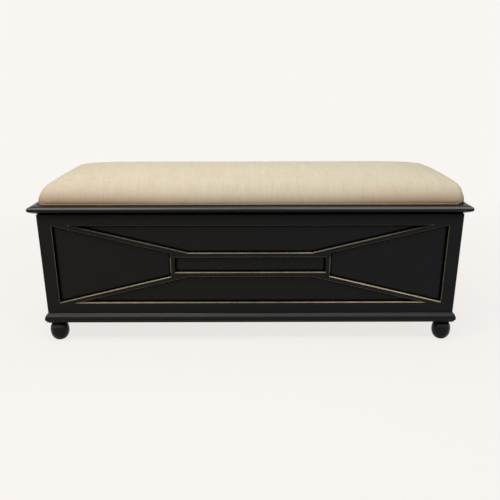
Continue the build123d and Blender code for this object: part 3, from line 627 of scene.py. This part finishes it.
class BENCH_OT_paint_woodwork(bpy.types.Operator):
    """Paint the frames, the fretwork and the panels, with rubbed edges"""
    bl_idname = "bench.paint_woodwork"
    bl_label = "Paint Woodwork"

    def execute(self, context):
        settings = context.scene.bench.paint
        rails = paint(settings, "paint_rails", "x", up=0.88, side=0.40, down=0.50, nook=0.026)
        stiles = paint(settings, "paint_stiles", "z", up=0.60, side=0.36, down=0.10, nook=0.026)
        bars = paint(settings, "paint_fret_bars", "x", up=0.86, side=0.30, down=1.10, slant=0.20)
        upper = paint(settings, "paint_upper_diagonals", "x", up=0.46, side=0.30, down=0.70,
                      slant=0.70, corner_shade=True)
        uprights = paint(settings, "paint_fret_uprights", "z", up=0.40, side=1.55, down=0.10,
                         slant=1.20, gilt=1.15, outward=True)
        lower = paint(settings, "paint_lower_diagonals", "x", up=1.02, side=0.30, down=1.00,
                      slant=1.00, gilt=1.20)
        side_rails = paint(settings, "paint_side_rails", "y", up=0.80, side=0.38, down=0.30, nook=0.022)
        long_boards = paint(settings, "paint_long_boards", "x")
        short_boards = paint(settings, "paint_short_boards", "y")
        dress(["front_top_rail", "front_bottom_rail"], rails)
        dress(["front_left_stile", "front_right_stile", "left_side_stiles", "right_side_stiles"], stiles)
        dress(["fret_upper_bar", "fret_lower_bar"], bars)
        dress(["fret_upper_left_diagonal", "fret_upper_right_diagonal"], upper)
        dress(["fret_left_upright", "fret_right_upright"], uprights)
        dress(["fret_lower_left_diagonal", "fret_lower_right_diagonal"], lower)
        dress(["left_side_rails", "right_side_rails"], side_rails)
        dress(["front_panel", "back_panel", "base_back", "lid_back_rail", "lid_panel"], long_boards)
        dress(["left_side_panel", "right_side_panel"], short_boards)
        return {"FINISHED"}


class BENCH_OT_sweep_mouldings(bpy.types.Operator):
    """Sweep the lid's and the base's mouldings along the front and the sides, mitred at the corners"""
    bl_idname = "bench.sweep_mouldings"
    bl_label = "Sweep Mouldings"

    def lid_profile(self, sizes):
        """The lid's edge, inwards from the nose and up from the underside."""
        width = LID_EDGE[1].y - LID_EDGE[0].y
        top = LID_EDGE[1].z - LID_EDGE[0].z
        nose = (sizes.nose_radius, top - sizes.nose_drop)
        nose_start = 135
        turned = arc(nose, sizes.nose_radius, nose_start, 180 + degrees(sizes.under_turn), 18)
        end = turned[0]
        ledge = []
        steps = 12
        for step in range(steps):
            part = step / steps
            rise = sizes.lid_crown * 4 * part * (1 - part)
            inwards = sizes.lid_ledge + (end[0] - sizes.lid_ledge) * part
            ledge.append((inwards, top + (end[1] - top) * part + rise))
        under = self.tangent_arc(turned[-1], radians(90) - sizes.under_turn, (sizes.under_width, 0.0), 10)
        rabbet = [
            (width, 0),
            (width, top - sizes.lid_rabbet),
            (width - sizes.lid_rabbet, top - sizes.lid_rabbet),
            (width - sizes.lid_rabbet, top),
        ]
        return ledge + turned + under[1:] + rabbet

    def tangent_arc(self, start, fall, end, steps):
        """Points on the arc that leaves its start inwards, falling at an angle, and reaches its end."""
        chord = Vector(end) - Vector(start)
        turn = fall - atan2(-chord.y, chord.x)
        radius = chord.length / (2 * sin(turn))
        centre = (start[0] + radius * sin(fall), start[1] + radius * cos(fall))
        first = 270 - degrees(fall)
        return arc(centre, radius, first, first + degrees(2 * turn), steps)

    def base_profile(self, sizes):
        """The base's edge, inwards from the nose and up from the underside."""
        width = BASE_EDGE[1].y - BASE_EDGE[0].y
        top = BASE_EDGE[1].z - BASE_EDGE[0].z
        rise = top - sizes.base_nose_height
        reach = sizes.base_projection - sizes.base_step
        radius = (reach**2 + rise**2) / (2 * reach)
        turn = degrees(atan2(rise, radius - reach))
        upper = arc((radius, sizes.base_nose_height), radius, 180 - turn, 180, 14)
        under = sizes.base_under_radius
        lower = arc((under, sizes.base_nose_height), under, 180, 180 + degrees(sizes.base_under_turn), 8)
        return upper + lower[1:] + [(lower[-1][0], 0), (width, 0), (width, top)]

    def moulding_tree(self):
        """A group that fills a profile, draws it out to a length and cuts its ends to a mitre."""
        graph, inputs, identifiers = geometry_tree("Mitred moulding", {
            "Profile": "NodeSocketObject", "Length": "NodeSocketFloat", "Start Mitre": "NodeSocketFloat",
            "End Mitre": "NodeSocketFloat", "Material": "NodeSocketMaterial"})
        profile = graph.node("GeometryNodeObjectInfo", None, {0: inputs.other("Profile")}, output="Geometry")
        face = graph.node("GeometryNodeFillCurve", {"mode": "NGONS"}, {0: profile})
        length = inputs.other("Length")
        drawn = graph.node("GeometryNodeExtrudeMesh", {"mode": "FACES"}, {
            "Mesh": face, "Offset": (0.0, 0.0, 1.0), "Offset Scale": length, "Individual": False})
        start = graph.node("GeometryNodeFlipFaces", None, {0: face})
        whole = graph.node("GeometryNodeJoinGeometry", None, {0: [drawn, start]})
        closed = graph.node("GeometryNodeMergeByDistance", None, {0: whole, "Distance": 0.000001})
        place = graph.node("GeometryNodeInputPosition")
        inwards = graph.node("ShaderNodeSeparateXYZ", None, {0: place})
        part = inwards.other("Z") / length
        shift = inwards * (inputs.other("Start Mitre") * (1 - part) - inputs.other("End Mitre") * part)
        offset = graph.node("ShaderNodeCombineXYZ", None, {"Z": shift})
        cut = graph.node("GeometryNodeSetPosition", None, {0: closed, "Offset": offset})
        smooth = graph.node("GeometryNodeSetShadeSmooth", {"domain": "FACE"}, {0: cut, "Shade Smooth": True})
        end_tree(graph, inputs, smooth)
        return graph, identifiers

    def sweep(self, name, body, profile, corner, turn, length, mitres, material):
        """One moulding, from its outer corner, turned about the vertical."""
        graph, identifiers = self.tree
        mesh = grown_mesh(name, bpy.data.meshes.new(name), graph, identifiers, {
            "Profile": profile, "Length": length, "Start Mitre": mitres[0], "End Mitre": mitres[1],
            "Material": material})
        stand = Matrix(((0, 0, 1, 0), (1, 0, 0, 0), (0, 1, 0, 0), (0, 0, 0, 1)))
        mesh.transform(Matrix.Translation(corner) @ Matrix.Rotation(turn, 4, "Z") @ stand)
        piece = new_object("swept_" + name, mesh)
        ease(piece, bpy.context.scene.bench.paint.eased_edge)
        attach(piece, body)
        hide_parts(name)

    def surround(self, context, body, names, points, edge, side, crest, nook):
        """The front, right and left moulding round the lid or the base."""
        settings = context.scene.bench.paint
        along_front = paint(settings, "paint_%s_front" % body, "x", crest=crest, nook=nook)
        along_sides = paint(settings, "paint_%s_sides" % body, "y", crest=crest, nook=nook)
        curve = bpy.data.curves.new("profile", "CURVE")
        curve.dimensions = "2D"
        spline = curve.splines.new("POLY")
        spline.points.add(len(points) - 1)
        for point, (inwards, up) in zip(spline.points, points):
            point.co = (inwards, up, 0.0, 1.0)
        spline.use_cyclic_u = True
        profile = bpy.data.objects.new("profile", curve)
        front, right, left = names
        low = edge[0]
        half = edge[1].x
        back = side[1].y
        self.sweep(front, body, profile, (-half, low.y, low.z), 0.0, 2 * half, (1, 1), along_front)
        self.sweep(right, body, profile, (half, low.y, low.z), pi / 2, back - low.y, (1, 0), along_sides)
        self.sweep(left, body, profile, (-half, back, low.z), -pi / 2, back - low.y, (0, 1), along_sides)
        bpy.data.objects.remove(profile)

    def execute(self, context):
        sizes = context.scene.bench.moulding
        self.tree = self.moulding_tree()
        self.surround(context, "lid", ("lid_front_moulding", "lid_right_moulding", "lid_left_moulding"),
                      self.lid_profile(sizes), LID_EDGE, LID_SIDE, LID_CREST, nook=0.010)
        self.surround(context, "box", ("base_front", "base_right", "base_left"),
                      self.base_profile(sizes), BASE_EDGE, BASE_SIDE, BASE_CREST, nook=0.018)
        return {"FINISHED"}


class BENCH_OT_turn_feet(bpy.types.Operator):
    """Turn the four ball feet with their necks and collars"""
    bl_idname = "bench.turn_feet"
    bl_label = "Turn Feet"

    def profile(self, sizes, radius, height):
        """Radius and height from the floor up to the top of the collar."""
        collar_z = height - sizes.collar_height
        ball_top = collar_z - sizes.neck_height
        power = 2 / sizes.fullness
        flat_turn = -acos((sizes.flat_radius / radius) ** (1 / power))
        neck_turn = acos((sizes.neck_radius / radius) ** (1 / power))
        low = abs(sin(flat_turn)) ** power
        half_height = ball_top / (sin(neck_turn) ** power + low)
        points = [(0.0, 0.0)]
        steps = 44
        for step in range(steps + 1):
            turn = flat_turn + (neck_turn - flat_turn) * step / steps
            rise = abs(sin(turn)) ** power * (1 if turn > 0 else -1)
            points.append((radius * cos(turn) ** power, half_height * (low + rise)))
        bead = sizes.collar_height / 2
        points.append((sizes.neck_radius, collar_z))
        points += arc((sizes.collar_radius - bead, collar_z + bead), bead, -90, 90, 10)
        points.append((0.0, height))
        return points

    def turn(self, name, points):
        """A closed round mesh from its radii and heights."""
        around = 72
        mesh = bpy.data.meshes.new(name)
        turned = bmesh.new()
        line = [turned.verts.new((radius, 0.0, up)) for radius, up in points]
        edges = [turned.edges.new(pair) for pair in zip(line, line[1:])]
        bmesh.ops.spin(turned, geom=line + edges, cent=(0, 0, 0), axis=(0, 0, 1),
                       angle=2 * pi, steps=around, use_merge=True)
        bmesh.ops.remove_doubles(turned, verts=turned.verts, dist=0.000002)
        bmesh.ops.recalc_face_normals(turned, faces=turned.faces)
        for face in turned.faces:
            face.smooth = True
        turned.to_mesh(mesh)
        turned.free()
        return mesh

    def execute(self, context):
        bench = context.scene.bench
        # Painted highlight on the upper side of the balls, and painted shade in their nooks.
        material = paint(bench.paint, "paint_feet", "z", crest=FOOT_CREST, nook=0.012)
        for end in ("front", "back"):
            for side in ("left", "right"):
                name = "foot_%s_%s" % (end, side)
                low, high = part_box(name)
                middle = (low + high) / 2
                points = self.profile(bench.foot, (high.x - low.x) / 2, high.z - low.z)
                mesh = self.turn(name, points)
                mesh.transform(Matrix.Translation((middle.x, middle.y, low.z)))
                piece = new_object("turned_" + name, mesh, material)
                ease(piece, bench.paint.eased_edge)
                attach(piece, "box")
                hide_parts(name)
        return {"FINISHED"}


class BENCH_OT_upholster_seat(bpy.types.Operator):
    """Swell the linen seat by a cloth simulation and lay its corner tucks"""
    bl_idname = "bench.upholster_seat"
    bl_label = "Upholster Seat"

    # Angle of each tuck round a corner in degrees, and its share of the pleats' depth.
    tucks = ((88, 1.0), (62, 0.6), (28, 0.6), (4, 0.9))

    def levels(self, seat):
        """Inset from the widest outline, and height above the lid, of each level of the form."""
        levels = [(seat.tuck, 0.0), (seat.tuck * 0.3, seat.side_height * 0.5)]
        steps = 12
        border_turn = radians(80)
        for step in range(steps + 1):
            turn = border_turn * step / steps
            inset = seat.round_width * (1 - cos(turn) ** (2 / seat.round_power))
            height = seat.side_height + seat.round_height * sin(turn) ** (2 / seat.round_power)
            levels.append((inset, height))
        inset, height = levels[-1]
        rise = seat.side_height + seat.round_height + seat.dome - height
        last = SEAT_HALF.y - seat.crown
        for step in range(1, steps + 1):
            part = step / steps
            levels.append((inset + (last - inset) * part, height + rise * sin(part * pi / 2)))
        return levels

    def outline(self, seat, inset, drawn):
        """Points round one level of the form: its rounded corners and the sides between them."""
        x, y = SEAT_HALF.x - drawn, SEAT_HALF.y - drawn
        widening = 0.8
        spare = 0.002
        radius = min(max(seat.corner_radius, inset * widening), min(x, y) - spare)
        corner_steps = 10
        side_steps = (40, 14)
        corners = []
        for quarter, (sx, sy) in enumerate(((1, 1), (-1, 1), (-1, -1), (1, -1))):
            centre = (sx * (x - radius), sy * (y - radius))
            corners.append(arc(centre, radius, 90 * quarter, 90 * quarter + 90, corner_steps))
        points = []
        for quarter, corner in enumerate(corners):
            start, end = Vector(corner[-1]), Vector(corners[(quarter + 1) % 4][0])
            steps = side_steps[quarter % 2]
            points += corner
            points += [tuple(start.lerp(end, step / steps)) for step in range(1, steps)]
        return points

    def stuffing(self, depth, front, back):
        """Share of an end's stuffing: all at the middle of the depth, less towards the front and the back."""
        least = 0.3
        return max(least, 1 - front * min(depth, 0.0) ** 2 - back * max(depth, 0.0) ** 4)

    def bulges(self, seat, part, depth):
        """How far the right and the left end stand out, at a share of the height and of the depth."""
        belly = exp(-((part - seat.bulge_level) / seat.bulge_spread) ** 2)
        fall = seat.end_fall * max(0.0, (part - seat.fall_level) / (1 - seat.fall_level)) ** 2
        behind = min(1.0, (depth + 1) * 0.95)
        right = seat.right_shift + seat.right_bulge * belly * self.stuffing(depth, front=0.46, back=1.78)
        left = seat.left_bulge * belly * self.stuffing(depth, front=0.70, back=1.05)
        right_fall = fall * (0.7 + 1.2 * behind)
        left_fall = fall * (0.5 + 0.9 * behind)
        return right - right_fall, left - left_fall

    def form(self, seat):
        """The closed form before it swells, a little smaller than the finished cover."""
        full = seat.side_height + seat.round_height + seat.dome
        form = bmesh.new()
        rings = []
        for inset, height in self.levels(seat):
            part = height / full
            drawn = inset + seat.shrink * min(1.0, seat.foot_shrink + part * 4)
            level = SEAT[0].z + height * (1 - seat.shrink / full)
            ring = []
            for across, along in self.outline(seat, inset, drawn):
                right, left = self.bulges(seat, part, along / SEAT_HALF.y)
                across += (right if across > 0 else left) * across / SEAT_HALF.x
                ring.append(form.verts.new((across + SEAT_MIDDLE.x, along + SEAT_MIDDLE.y, level)))
            rings.append(ring)
        for lower, upper in zip(rings, rings[1:]):
            for index in range(len(lower)):
                following = (index + 1) % len(lower)
                form.faces.new((lower[index], lower[following], upper[following], upper[index]))
        form.faces.new(list(reversed(rings[0])))
        form.faces.new(rings[-1])
        mesh = bpy.data.meshes.new("seat_form")
        form.to_mesh(mesh)
        form.free()
        return mesh

    def swell(self, context, seat, holder):
        """Blow the remeshed cover up against its pinned foot, and cap each point's movement."""
        start = point_values(holder.data, "co")
        normals = point_values(holder.data, "normal")
        pinned = seat.side_height * 0.25
        height = start[:, 2] - SEAT[0].z
        held = 1 - np.clip((height - pinned) / (seat.side_height - pinned), 0, 1)
        group = holder.vertex_groups.new(name="held")
        for index, weight in enumerate(held):
            if weight > 0:
                group.add([index], float(weight), "REPLACE")
        cloth = holder.modifiers.new("Cover", "CLOTH")
        cloth.settings.quality = 5
        cloth.settings.mass = 0.3
        cloth.settings.tension_stiffness = 18
        cloth.settings.compression_stiffness = 18
        cloth.settings.shear_stiffness = 8
        cloth.settings.bending_stiffness = 2.0
        cloth.settings.use_pressure = True
        cloth.settings.uniform_pressure_force = seat.pressure
        cloth.settings.shrink_min = -seat.slack
        cloth.settings.vertex_group_mass = "held"
        cloth.settings.effector_weights.gravity = 0
        cloth.point_cache.frame_start = 1
        cloth.point_cache.frame_end = seat.last_frame
        for number in range(1, seat.last_frame + 1):
            context.scene.frame_set(number)
        swollen = evaluated_mesh(holder)
        moved = point_values(swollen, "co") - start
        bpy.data.meshes.remove(swollen)
        holder.modifiers.remove(cloth)
        context.scene.frame_set(1)
        sunk = np.sum(moved * normals, axis=1, keepdims=True)
        moved -= normals * np.minimum(0.0, sunk + seat.foam_give)
        far = np.linalg.norm(moved, axis=1, keepdims=True)
        moved *= np.minimum(1.0, seat.swell_limit / np.maximum(far, 1e-9))
        holder.data.vertices.foreach_set("co", (start + moved).ravel())

    def tuck(self, seat, places, normals):
        """Press small tucks into the cover at the foot of each corner, each with a low fold beside it."""
        height = places[:, 2] - SEAT[0].z
        fade = np.clip(1 - height / seat.pleat_height, 0, 1) ** 1.5
        pressed = np.zeros(len(places))
        width = seat.pleat_width
        radius = seat.corner_radius
        margin = 0.012
        fold_height = 0.6
        fold_distance = 1.9
        for sx in (-1, 1):
            for sy in (-1, 1):
                x = SEAT_MIDDLE.x + sx * (SEAT_HALF.x - radius)
                y = SEAT_MIDDLE.y + sy * (SEAT_HALF.y - radius)
                away = places[:, :2] - (x, y)
                corner = (away[:, 0] * sx > -margin) & (away[:, 1] * sy > -margin)
                turn = np.arctan2(away[:, 1] * sy, away[:, 0] * sx)
                for angle, depth in self.tucks:
                    along = (turn - radians(angle)) * radius / width
                    crease = fold_height * np.exp(-(along + fold_distance) ** 2) - np.exp(-along**2)
                    pressed += np.where(corner, crease * depth, 0)
        places += normals * (pressed * fade * seat.pleat_depth)[:, None]

    def lay_threads(self, mesh, places, normals):
        """Record where each point lies along the warp and the weft, over the top and down the sides."""
        outwards = normals[:, :2] ** 2
        outwards = outwards / np.maximum(outwards.sum(axis=1, keepdims=True), 1e-6)
        drop = SEAT[1].z - places[:, 2]
        threads = np.zeros((len(places), 3))
        threads[:, 0] = places[:, 0] + np.sign(places[:, 0]) * outwards[:, 0] * drop
        threads[:, 1] = places[:, 1] + np.sign(places[:, 1] - SEAT_MIDDLE.y) * outwards[:, 1] * drop
        layer = mesh.attributes.new("threads", "FLOAT_VECTOR", "POINT")
        layer.data.foreach_set("vector", threads.ravel())

    def execute(self, context):
        seat = context.scene.bench.seat
        rough = new_object("seat_form", self.form(seat))
        remesh = rough.modifiers.new("Remesh", "REMESH")
        remesh.mode = "VOXEL"
        remesh.voxel_size = seat.voxel
        holder = new_object("seat_remeshed", evaluated_mesh(rough))
        bpy.data.objects.remove(rough)
        self.swell(context, seat, holder)
        calm = holder.modifiers.new("Calm", "SMOOTH")
        calm.factor = 0.5
        calm.iterations = 4
        finer = holder.modifiers.new("Finer", "SUBSURF")
        finer.levels = 1
        finer.render_levels = 1
        mesh = evaluated_mesh(holder)
        bpy.data.objects.remove(holder)
        places = point_values(mesh, "co")
        normals = point_values(mesh, "normal")
        self.tuck(seat, places, normals)
        mesh.vertices.foreach_set("co", places.ravel())
        self.lay_threads(mesh, places, normals)
        for face in mesh.polygons:
            face.use_smooth = True
        piece = new_object("linen_seat", mesh, linen(seat))
        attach(piece, "lid")
        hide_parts("seat_cover", "seat_foam")
        return {"FINISHED"}


class BENCH_OT_finish_hardware(bpy.types.Operator):
    """Finish the hinges, lid stays, foot plates, bumpers and the plywood inside"""
    bl_idname = "bench.finish_hardware"
    bl_label = "Finish Hardware"

    def execute(self, context):
        settings = context.scene.bench.hardware
        brass = metal("hinge_brass", settings.brass, roughness=0.34, stain=0.55)
        steel = metal("zinc_steel", settings.steel, roughness=0.36, stain=0.72)
        blackened = metal("blackened_steel", settings.blackened, roughness=0.50, stain=0.72)
        dress(["hinge_box_leaves", "hinge_lid_leaves", "hinge_pins"], brass)
        stays = [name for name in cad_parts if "_stay_" in name]
        dress(stays + ["foot_studs"], steel)
        dress(["foot_plates"], blackened)
        dress(["lid_bumpers"], rubber(settings))
        dress(["bottom_panel", "corner_posts", "seat_board"], plywood(settings))
        return {"FINISHED"}


class BENCH_OT_drive_screws(bpy.types.Operator):
    """Set cross-head screws where the screws of hinges, stays, plates and seat are"""
    bl_idname = "bench.drive_screws"
    bl_label = "Drive Screws"

    def heads(self, name):
        """Head centre, outward direction and head radius of each screw of a CAD piece."""
        loose = bmesh.new()
        loose.from_mesh(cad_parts[name].data)
        bmesh.ops.remove_doubles(loose, verts=loose.verts, dist=0.00001)
        waiting = set(loose.verts)
        found = []
        while waiting:
            island = [waiting.pop()]
            for vert in island:
                for edge in vert.link_edges:
                    following = edge.other_vert(vert)
                    if following in waiting:
                        waiting.remove(following)
                        island.append(following)
            points = np.array([vert.co for vert in island])
            low, high = points.min(axis=0), points.max(axis=0)
            axis = int(np.argmax(high - low))
            middle = (low + high) / 2
            reach = np.linalg.norm(np.delete(points - middle, axis, 1), axis=1)
            head_radius = reach.max()
            sign = 1 if points[np.argmax(reach), axis] > middle[axis] else -1
            facing = np.zeros(3)
            facing[axis] = sign
            middle[axis] = high[axis] if sign > 0 else low[axis]
            found.append((middle, facing, head_radius))
        loose.free()
        return sorted(found, key=lambda head: tuple(head[0].round(6)))

    def screw_tree(self):
        """A group that sets a countersunk screw with a cross recess on each point, scaled by its head."""
        graph, inputs, identifiers = geometry_tree("Cross-head screws", {
            "Shank Length": "NodeSocketFloat", "Recess Width": "NodeSocketFloat",
            "Recess Length": "NodeSocketFloat", "Recess Depth": "NodeSocketFloat",
            "Material": "NodeSocketMaterial"})
        head_height = 0.55
        rod_top = 0.5
        rod_radius = 0.5
        tip_radius = 0.12
        head = graph.node("GeometryNodeMeshCone", None, {
            "Vertices": 24, "Radius Top": 1.0, "Radius Bottom": rod_radius, "Depth": head_height})
        head = graph.node("GeometryNodeTransform", None, {0: head, "Translation": (0.0, 0.0, -head_height)})
        width = inputs.other("Recess Width")
        length = inputs.other("Recess Length")
        depth = inputs.other("Recess Depth") * 2
        slots = []
        for size in ((length, width), (width, length)):
            block = graph.node("ShaderNodeCombineXYZ", None, {"X": size[0], "Y": size[1], "Z": depth})
            slots.append(graph.node("GeometryNodeMeshCube", None, {"Size": block}))
        cut = graph.node("GeometryNodeMeshBoolean", {"operation": "DIFFERENCE"}, {0: head, 1: slots})
        shank = inputs.other("Shank Length")
        rod = graph.node("GeometryNodeMeshCone", None, {
            "Vertices": 12, "Radius Top": rod_radius, "Radius Bottom": tip_radius, "Depth": shank - rod_top})
        down = graph.node("ShaderNodeCombineXYZ", None, {"Z": -shank})
        rod = graph.node("GeometryNodeTransform", None, {0: rod, "Translation": down})
        screw = graph.node("GeometryNodeJoinGeometry", None, {0: [cut, rod]})
        named = "GeometryNodeInputNamedAttribute"
        facing = graph.node(named, {"data_type": "FLOAT_VECTOR"}, {"Name": "facing"})
        radius = graph.node(named, {"data_type": "FLOAT"}, {"Name": "head_radius"})
        turn = graph.node("FunctionNodeAlignRotationToVector", {"axis": "Z"}, {"Vector": facing})
        placed = graph.node("GeometryNodeInstanceOnPoints", None, {
            "Points": inputs, "Instance": screw, "Rotation": turn, "Scale": radius})
        end_tree(graph, inputs, placed)
        return graph, identifiers

    def execute(self, context):
        settings = context.scene.bench.hardware
        graph, identifiers = self.screw_tree()
        steel = metal("screw_steel", settings.steel, roughness=0.32, stain=0.70)
        groups = {
            "box": ("hinge_box_screws", "stay_box_screws", "foot_plate_screws"),
            "lid": ("hinge_lid_screws", "stay_lid_screws", "seat_screws"),
        }
        for body, names in groups.items():
            heads = [head for name in names for head in self.heads(name)]
            points = bpy.data.meshes.new("screw_points")
            points.from_pydata([head[0] for head in heads], [], [])
            facing = points.attributes.new("facing", "FLOAT_VECTOR", "POINT")
            facing.data.foreach_set("vector", np.array([head[1] for head in heads]).ravel())
            radius = points.attributes.new("head_radius", "FLOAT", "POINT")
            radius.data.foreach_set("value", np.array([head[2] for head in heads]))
            mesh = grown_mesh(body + "_screws", points, graph, identifiers, {
                "Shank Length": settings.shank_length, "Recess Width": settings.recess_width,
                "Recess Length": settings.recess_length, "Recess Depth": settings.recess_depth,
                "Material": steel})
            piece = new_object(body + "_screws", mesh)
            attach(piece, body)
            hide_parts(*names)
        return {"FINISHED"}


class BENCH_OT_set_stage(bpy.types.Operator):
    """Lay the pale floor and set the lights and the camera"""
    bl_idname = "bench.set_stage"
    bl_label = "Set Stage"

    def seen(self, graph):
        """One for what the camera sees, directly or in a gloss."""
        path = graph.node("ShaderNodeLightPath", output="Is Camera Ray")
        gloss = graph.math("MAXIMUM", path.other("Is Glossy Ray"), path.other("Is Transmission Ray"))
        return graph.math("MAXIMUM", path, gloss)

    def floor(self, stage):
        material = bpy.data.materials.new("floor_pale")
        material.use_nodes = True
        material.node_tree.nodes.clear()
        graph = Graph(material.node_tree)
        place = graph.node("ShaderNodeTexCoord", output="Object")
        distance = graph.node("ShaderNodeVectorMath", {"operation": "LENGTH"}, {0: place}, output="Value")
        near, far = 0.7, 2.2
        away = graph.node("ShaderNodeMapRange", {"interpolation_type": "SMOOTHSTEP"}, {
            0: distance, 1: near, 2: far, 3: stage.near_glow, 4: 1.0})
        pale = colour(stage.background)
        lit = graph.node("ShaderNodeBsdfDiffuse", None, {"Color": pale})
        glow = graph.node("ShaderNodeEmission", None, {"Color": pale, "Strength": 1.0})
        shown = graph.node("ShaderNodeMixShader", None, {0: away, 1: lit, 2: glow})
        bounce = graph.node("ShaderNodeBsdfDiffuse", None, {"Color": colour(stage.bounce)})
        whole = graph.node("ShaderNodeMixShader", None, {0: self.seen(graph), 1: bounce, 2: shown})
        graph.node("ShaderNodeOutputMaterial", None, {0: whole})
        reach = 14.0
        mesh = bpy.data.meshes.new("floor")
        corners = [(-reach, -reach, 0), (reach, -reach, 0), (reach, reach, 0), (-reach, reach, 0)]
        mesh.from_pydata(corners, [], [(0, 1, 2, 3)])
        new_object("floor", mesh, material)

    def surroundings(self, stage):
        world = bpy.data.worlds.new("studio")
        bpy.context.scene.world = world
        world.use_nodes = True
        world.node_tree.nodes.clear()
        graph = Graph(world.node_tree)
        pale = graph.node("ShaderNodeBackground", None, {"Color": colour(stage.background), "Strength": 1.0})
        ambient = graph.node("ShaderNodeBackground", None, {
            "Color": colour(stage.ambient_tint), "Strength": stage.ambient})
        both = graph.node("ShaderNodeMixShader", None, {0: self.seen(graph), 1: ambient, 2: pale})
        graph.node("ShaderNodeOutputWorld", None, {0: both})

    def lamp(self, name, place, aim, size, power, tint):
        light = bpy.data.lights.new(name, "AREA")
        light.shape = "RECTANGLE"
        light.size, light.size_y = size
        light.energy = power
        light.color = tint
        lamp = bpy.data.objects.new(name, light)
        lamp.location = place
        lamp.rotation_euler = (Vector(aim) - Vector(place)).to_track_quat("-Z", "Y").to_euler()
        bpy.context.scene.collection.objects.link(lamp)

    def execute(self, context):
        stage = context.scene.bench.stage
        scene = context.scene
        self.floor(stage)
        self.surroundings(stage)
        self.lamp("left_key", place=(-1.1, -1.45, 2.8), aim=(-0.3, 0.0, 0.4), size=(2.0, 0.30), power=40.0,
                  tint=(1.0, 0.94, 0.88))
        self.lamp("right_key", place=(1.1, -1.45, 2.8), aim=(0.3, 0.0, 0.4), size=(2.0, 0.30), power=25.0,
                  tint=(0.75, 0.89, 1.0))
        self.lamp("left_window", place=(-2.3, -1.7, 1.3), aim=(0.0, 0.0, 0.2), size=(1.4, 1.4), power=2.5,
                  tint=(1.0, 0.97, 0.92))
        self.lamp("right_window", place=(2.3, -1.7, 1.3), aim=(0.0, 0.0, 0.2), size=(1.4, 1.4), power=2.0,
                  tint=(0.75, 0.89, 1.0))
        self.lamp("top_light", place=(-0.2, 0.1, 2.8), aim=(0.0, 0.0, 0.4), size=(3.0, 1.0), power=25.0,
                  tint=(0.86, 0.99, 1.0))
        camera = bpy.data.cameras.new("camera")
        camera.lens = stage.lens
        viewer = bpy.data.objects.new("camera", camera)
        viewer.location = (stage.side, LID_EDGE[0].y - stage.distance, stage.height)
        turn = Euler((stage.pitch, 0, 0)).to_matrix() @ Matrix.Rotation(stage.roll, 3, "Z")
        viewer.rotation_euler = turn.to_euler()
        scene.collection.objects.link(viewer)
        scene.camera = viewer
        scene.view_settings.view_transform = "Standard"
        return {"FINISHED"}


class BENCH_PT_pieces(bpy.types.Panel):
    """The bench's pieces and settings"""
    bl_idname = "BENCH_PT_pieces"
    bl_label = "Storage Bench"
    bl_space_type = "VIEW_3D"
    bl_region_type = "UI"
    bl_category = "Bench"

    def draw(self, context):
        for operator in OPERATORS:
            self.layout.operator(operator.bl_idname)
        bench = context.scene.bench
        for group in (bench.paint, bench.moulding, bench.foot, bench.seat, bench.hardware, bench.stage):
            column = self.layout.column()
            for key in group.bl_rna.properties.keys():
                if key not in ("rna_type", "name"):
                    column.prop(group, key)


OPERATORS = (
    BENCH_OT_paint_woodwork,
    BENCH_OT_sweep_mouldings,
    BENCH_OT_turn_feet,
    BENCH_OT_upholster_seat,
    BENCH_OT_finish_hardware,
    BENCH_OT_drive_screws,
    BENCH_OT_set_stage,
)
CLASSES = (
    PaintSettings,
    MouldingSettings,
    FootSettings,
    SeatSettings,
    HardwareSettings,
    StageSettings,
    BenchSettings,
    *OPERATORS,
    BENCH_PT_pieces,
)


def register():
    for cls in CLASSES:
        bpy.utils.register_class(cls)
    bpy.types.Scene.bench = PointerProperty(type=BenchSettings)


def unregister():
    del bpy.types.Scene.bench
    for cls in reversed(CLASSES):
        bpy.utils.unregister_class(cls)


def main():
    register()
    bpy.ops.bench.paint_woodwork()
    bpy.ops.bench.sweep_mouldings()
    bpy.ops.bench.turn_feet()
    bpy.ops.bench.upholster_seat()
    bpy.ops.bench.finish_hardware()
    bpy.ops.bench.drive_screws()
    bpy.ops.bench.set_stage()


if __name__ == "__main__":
    main()
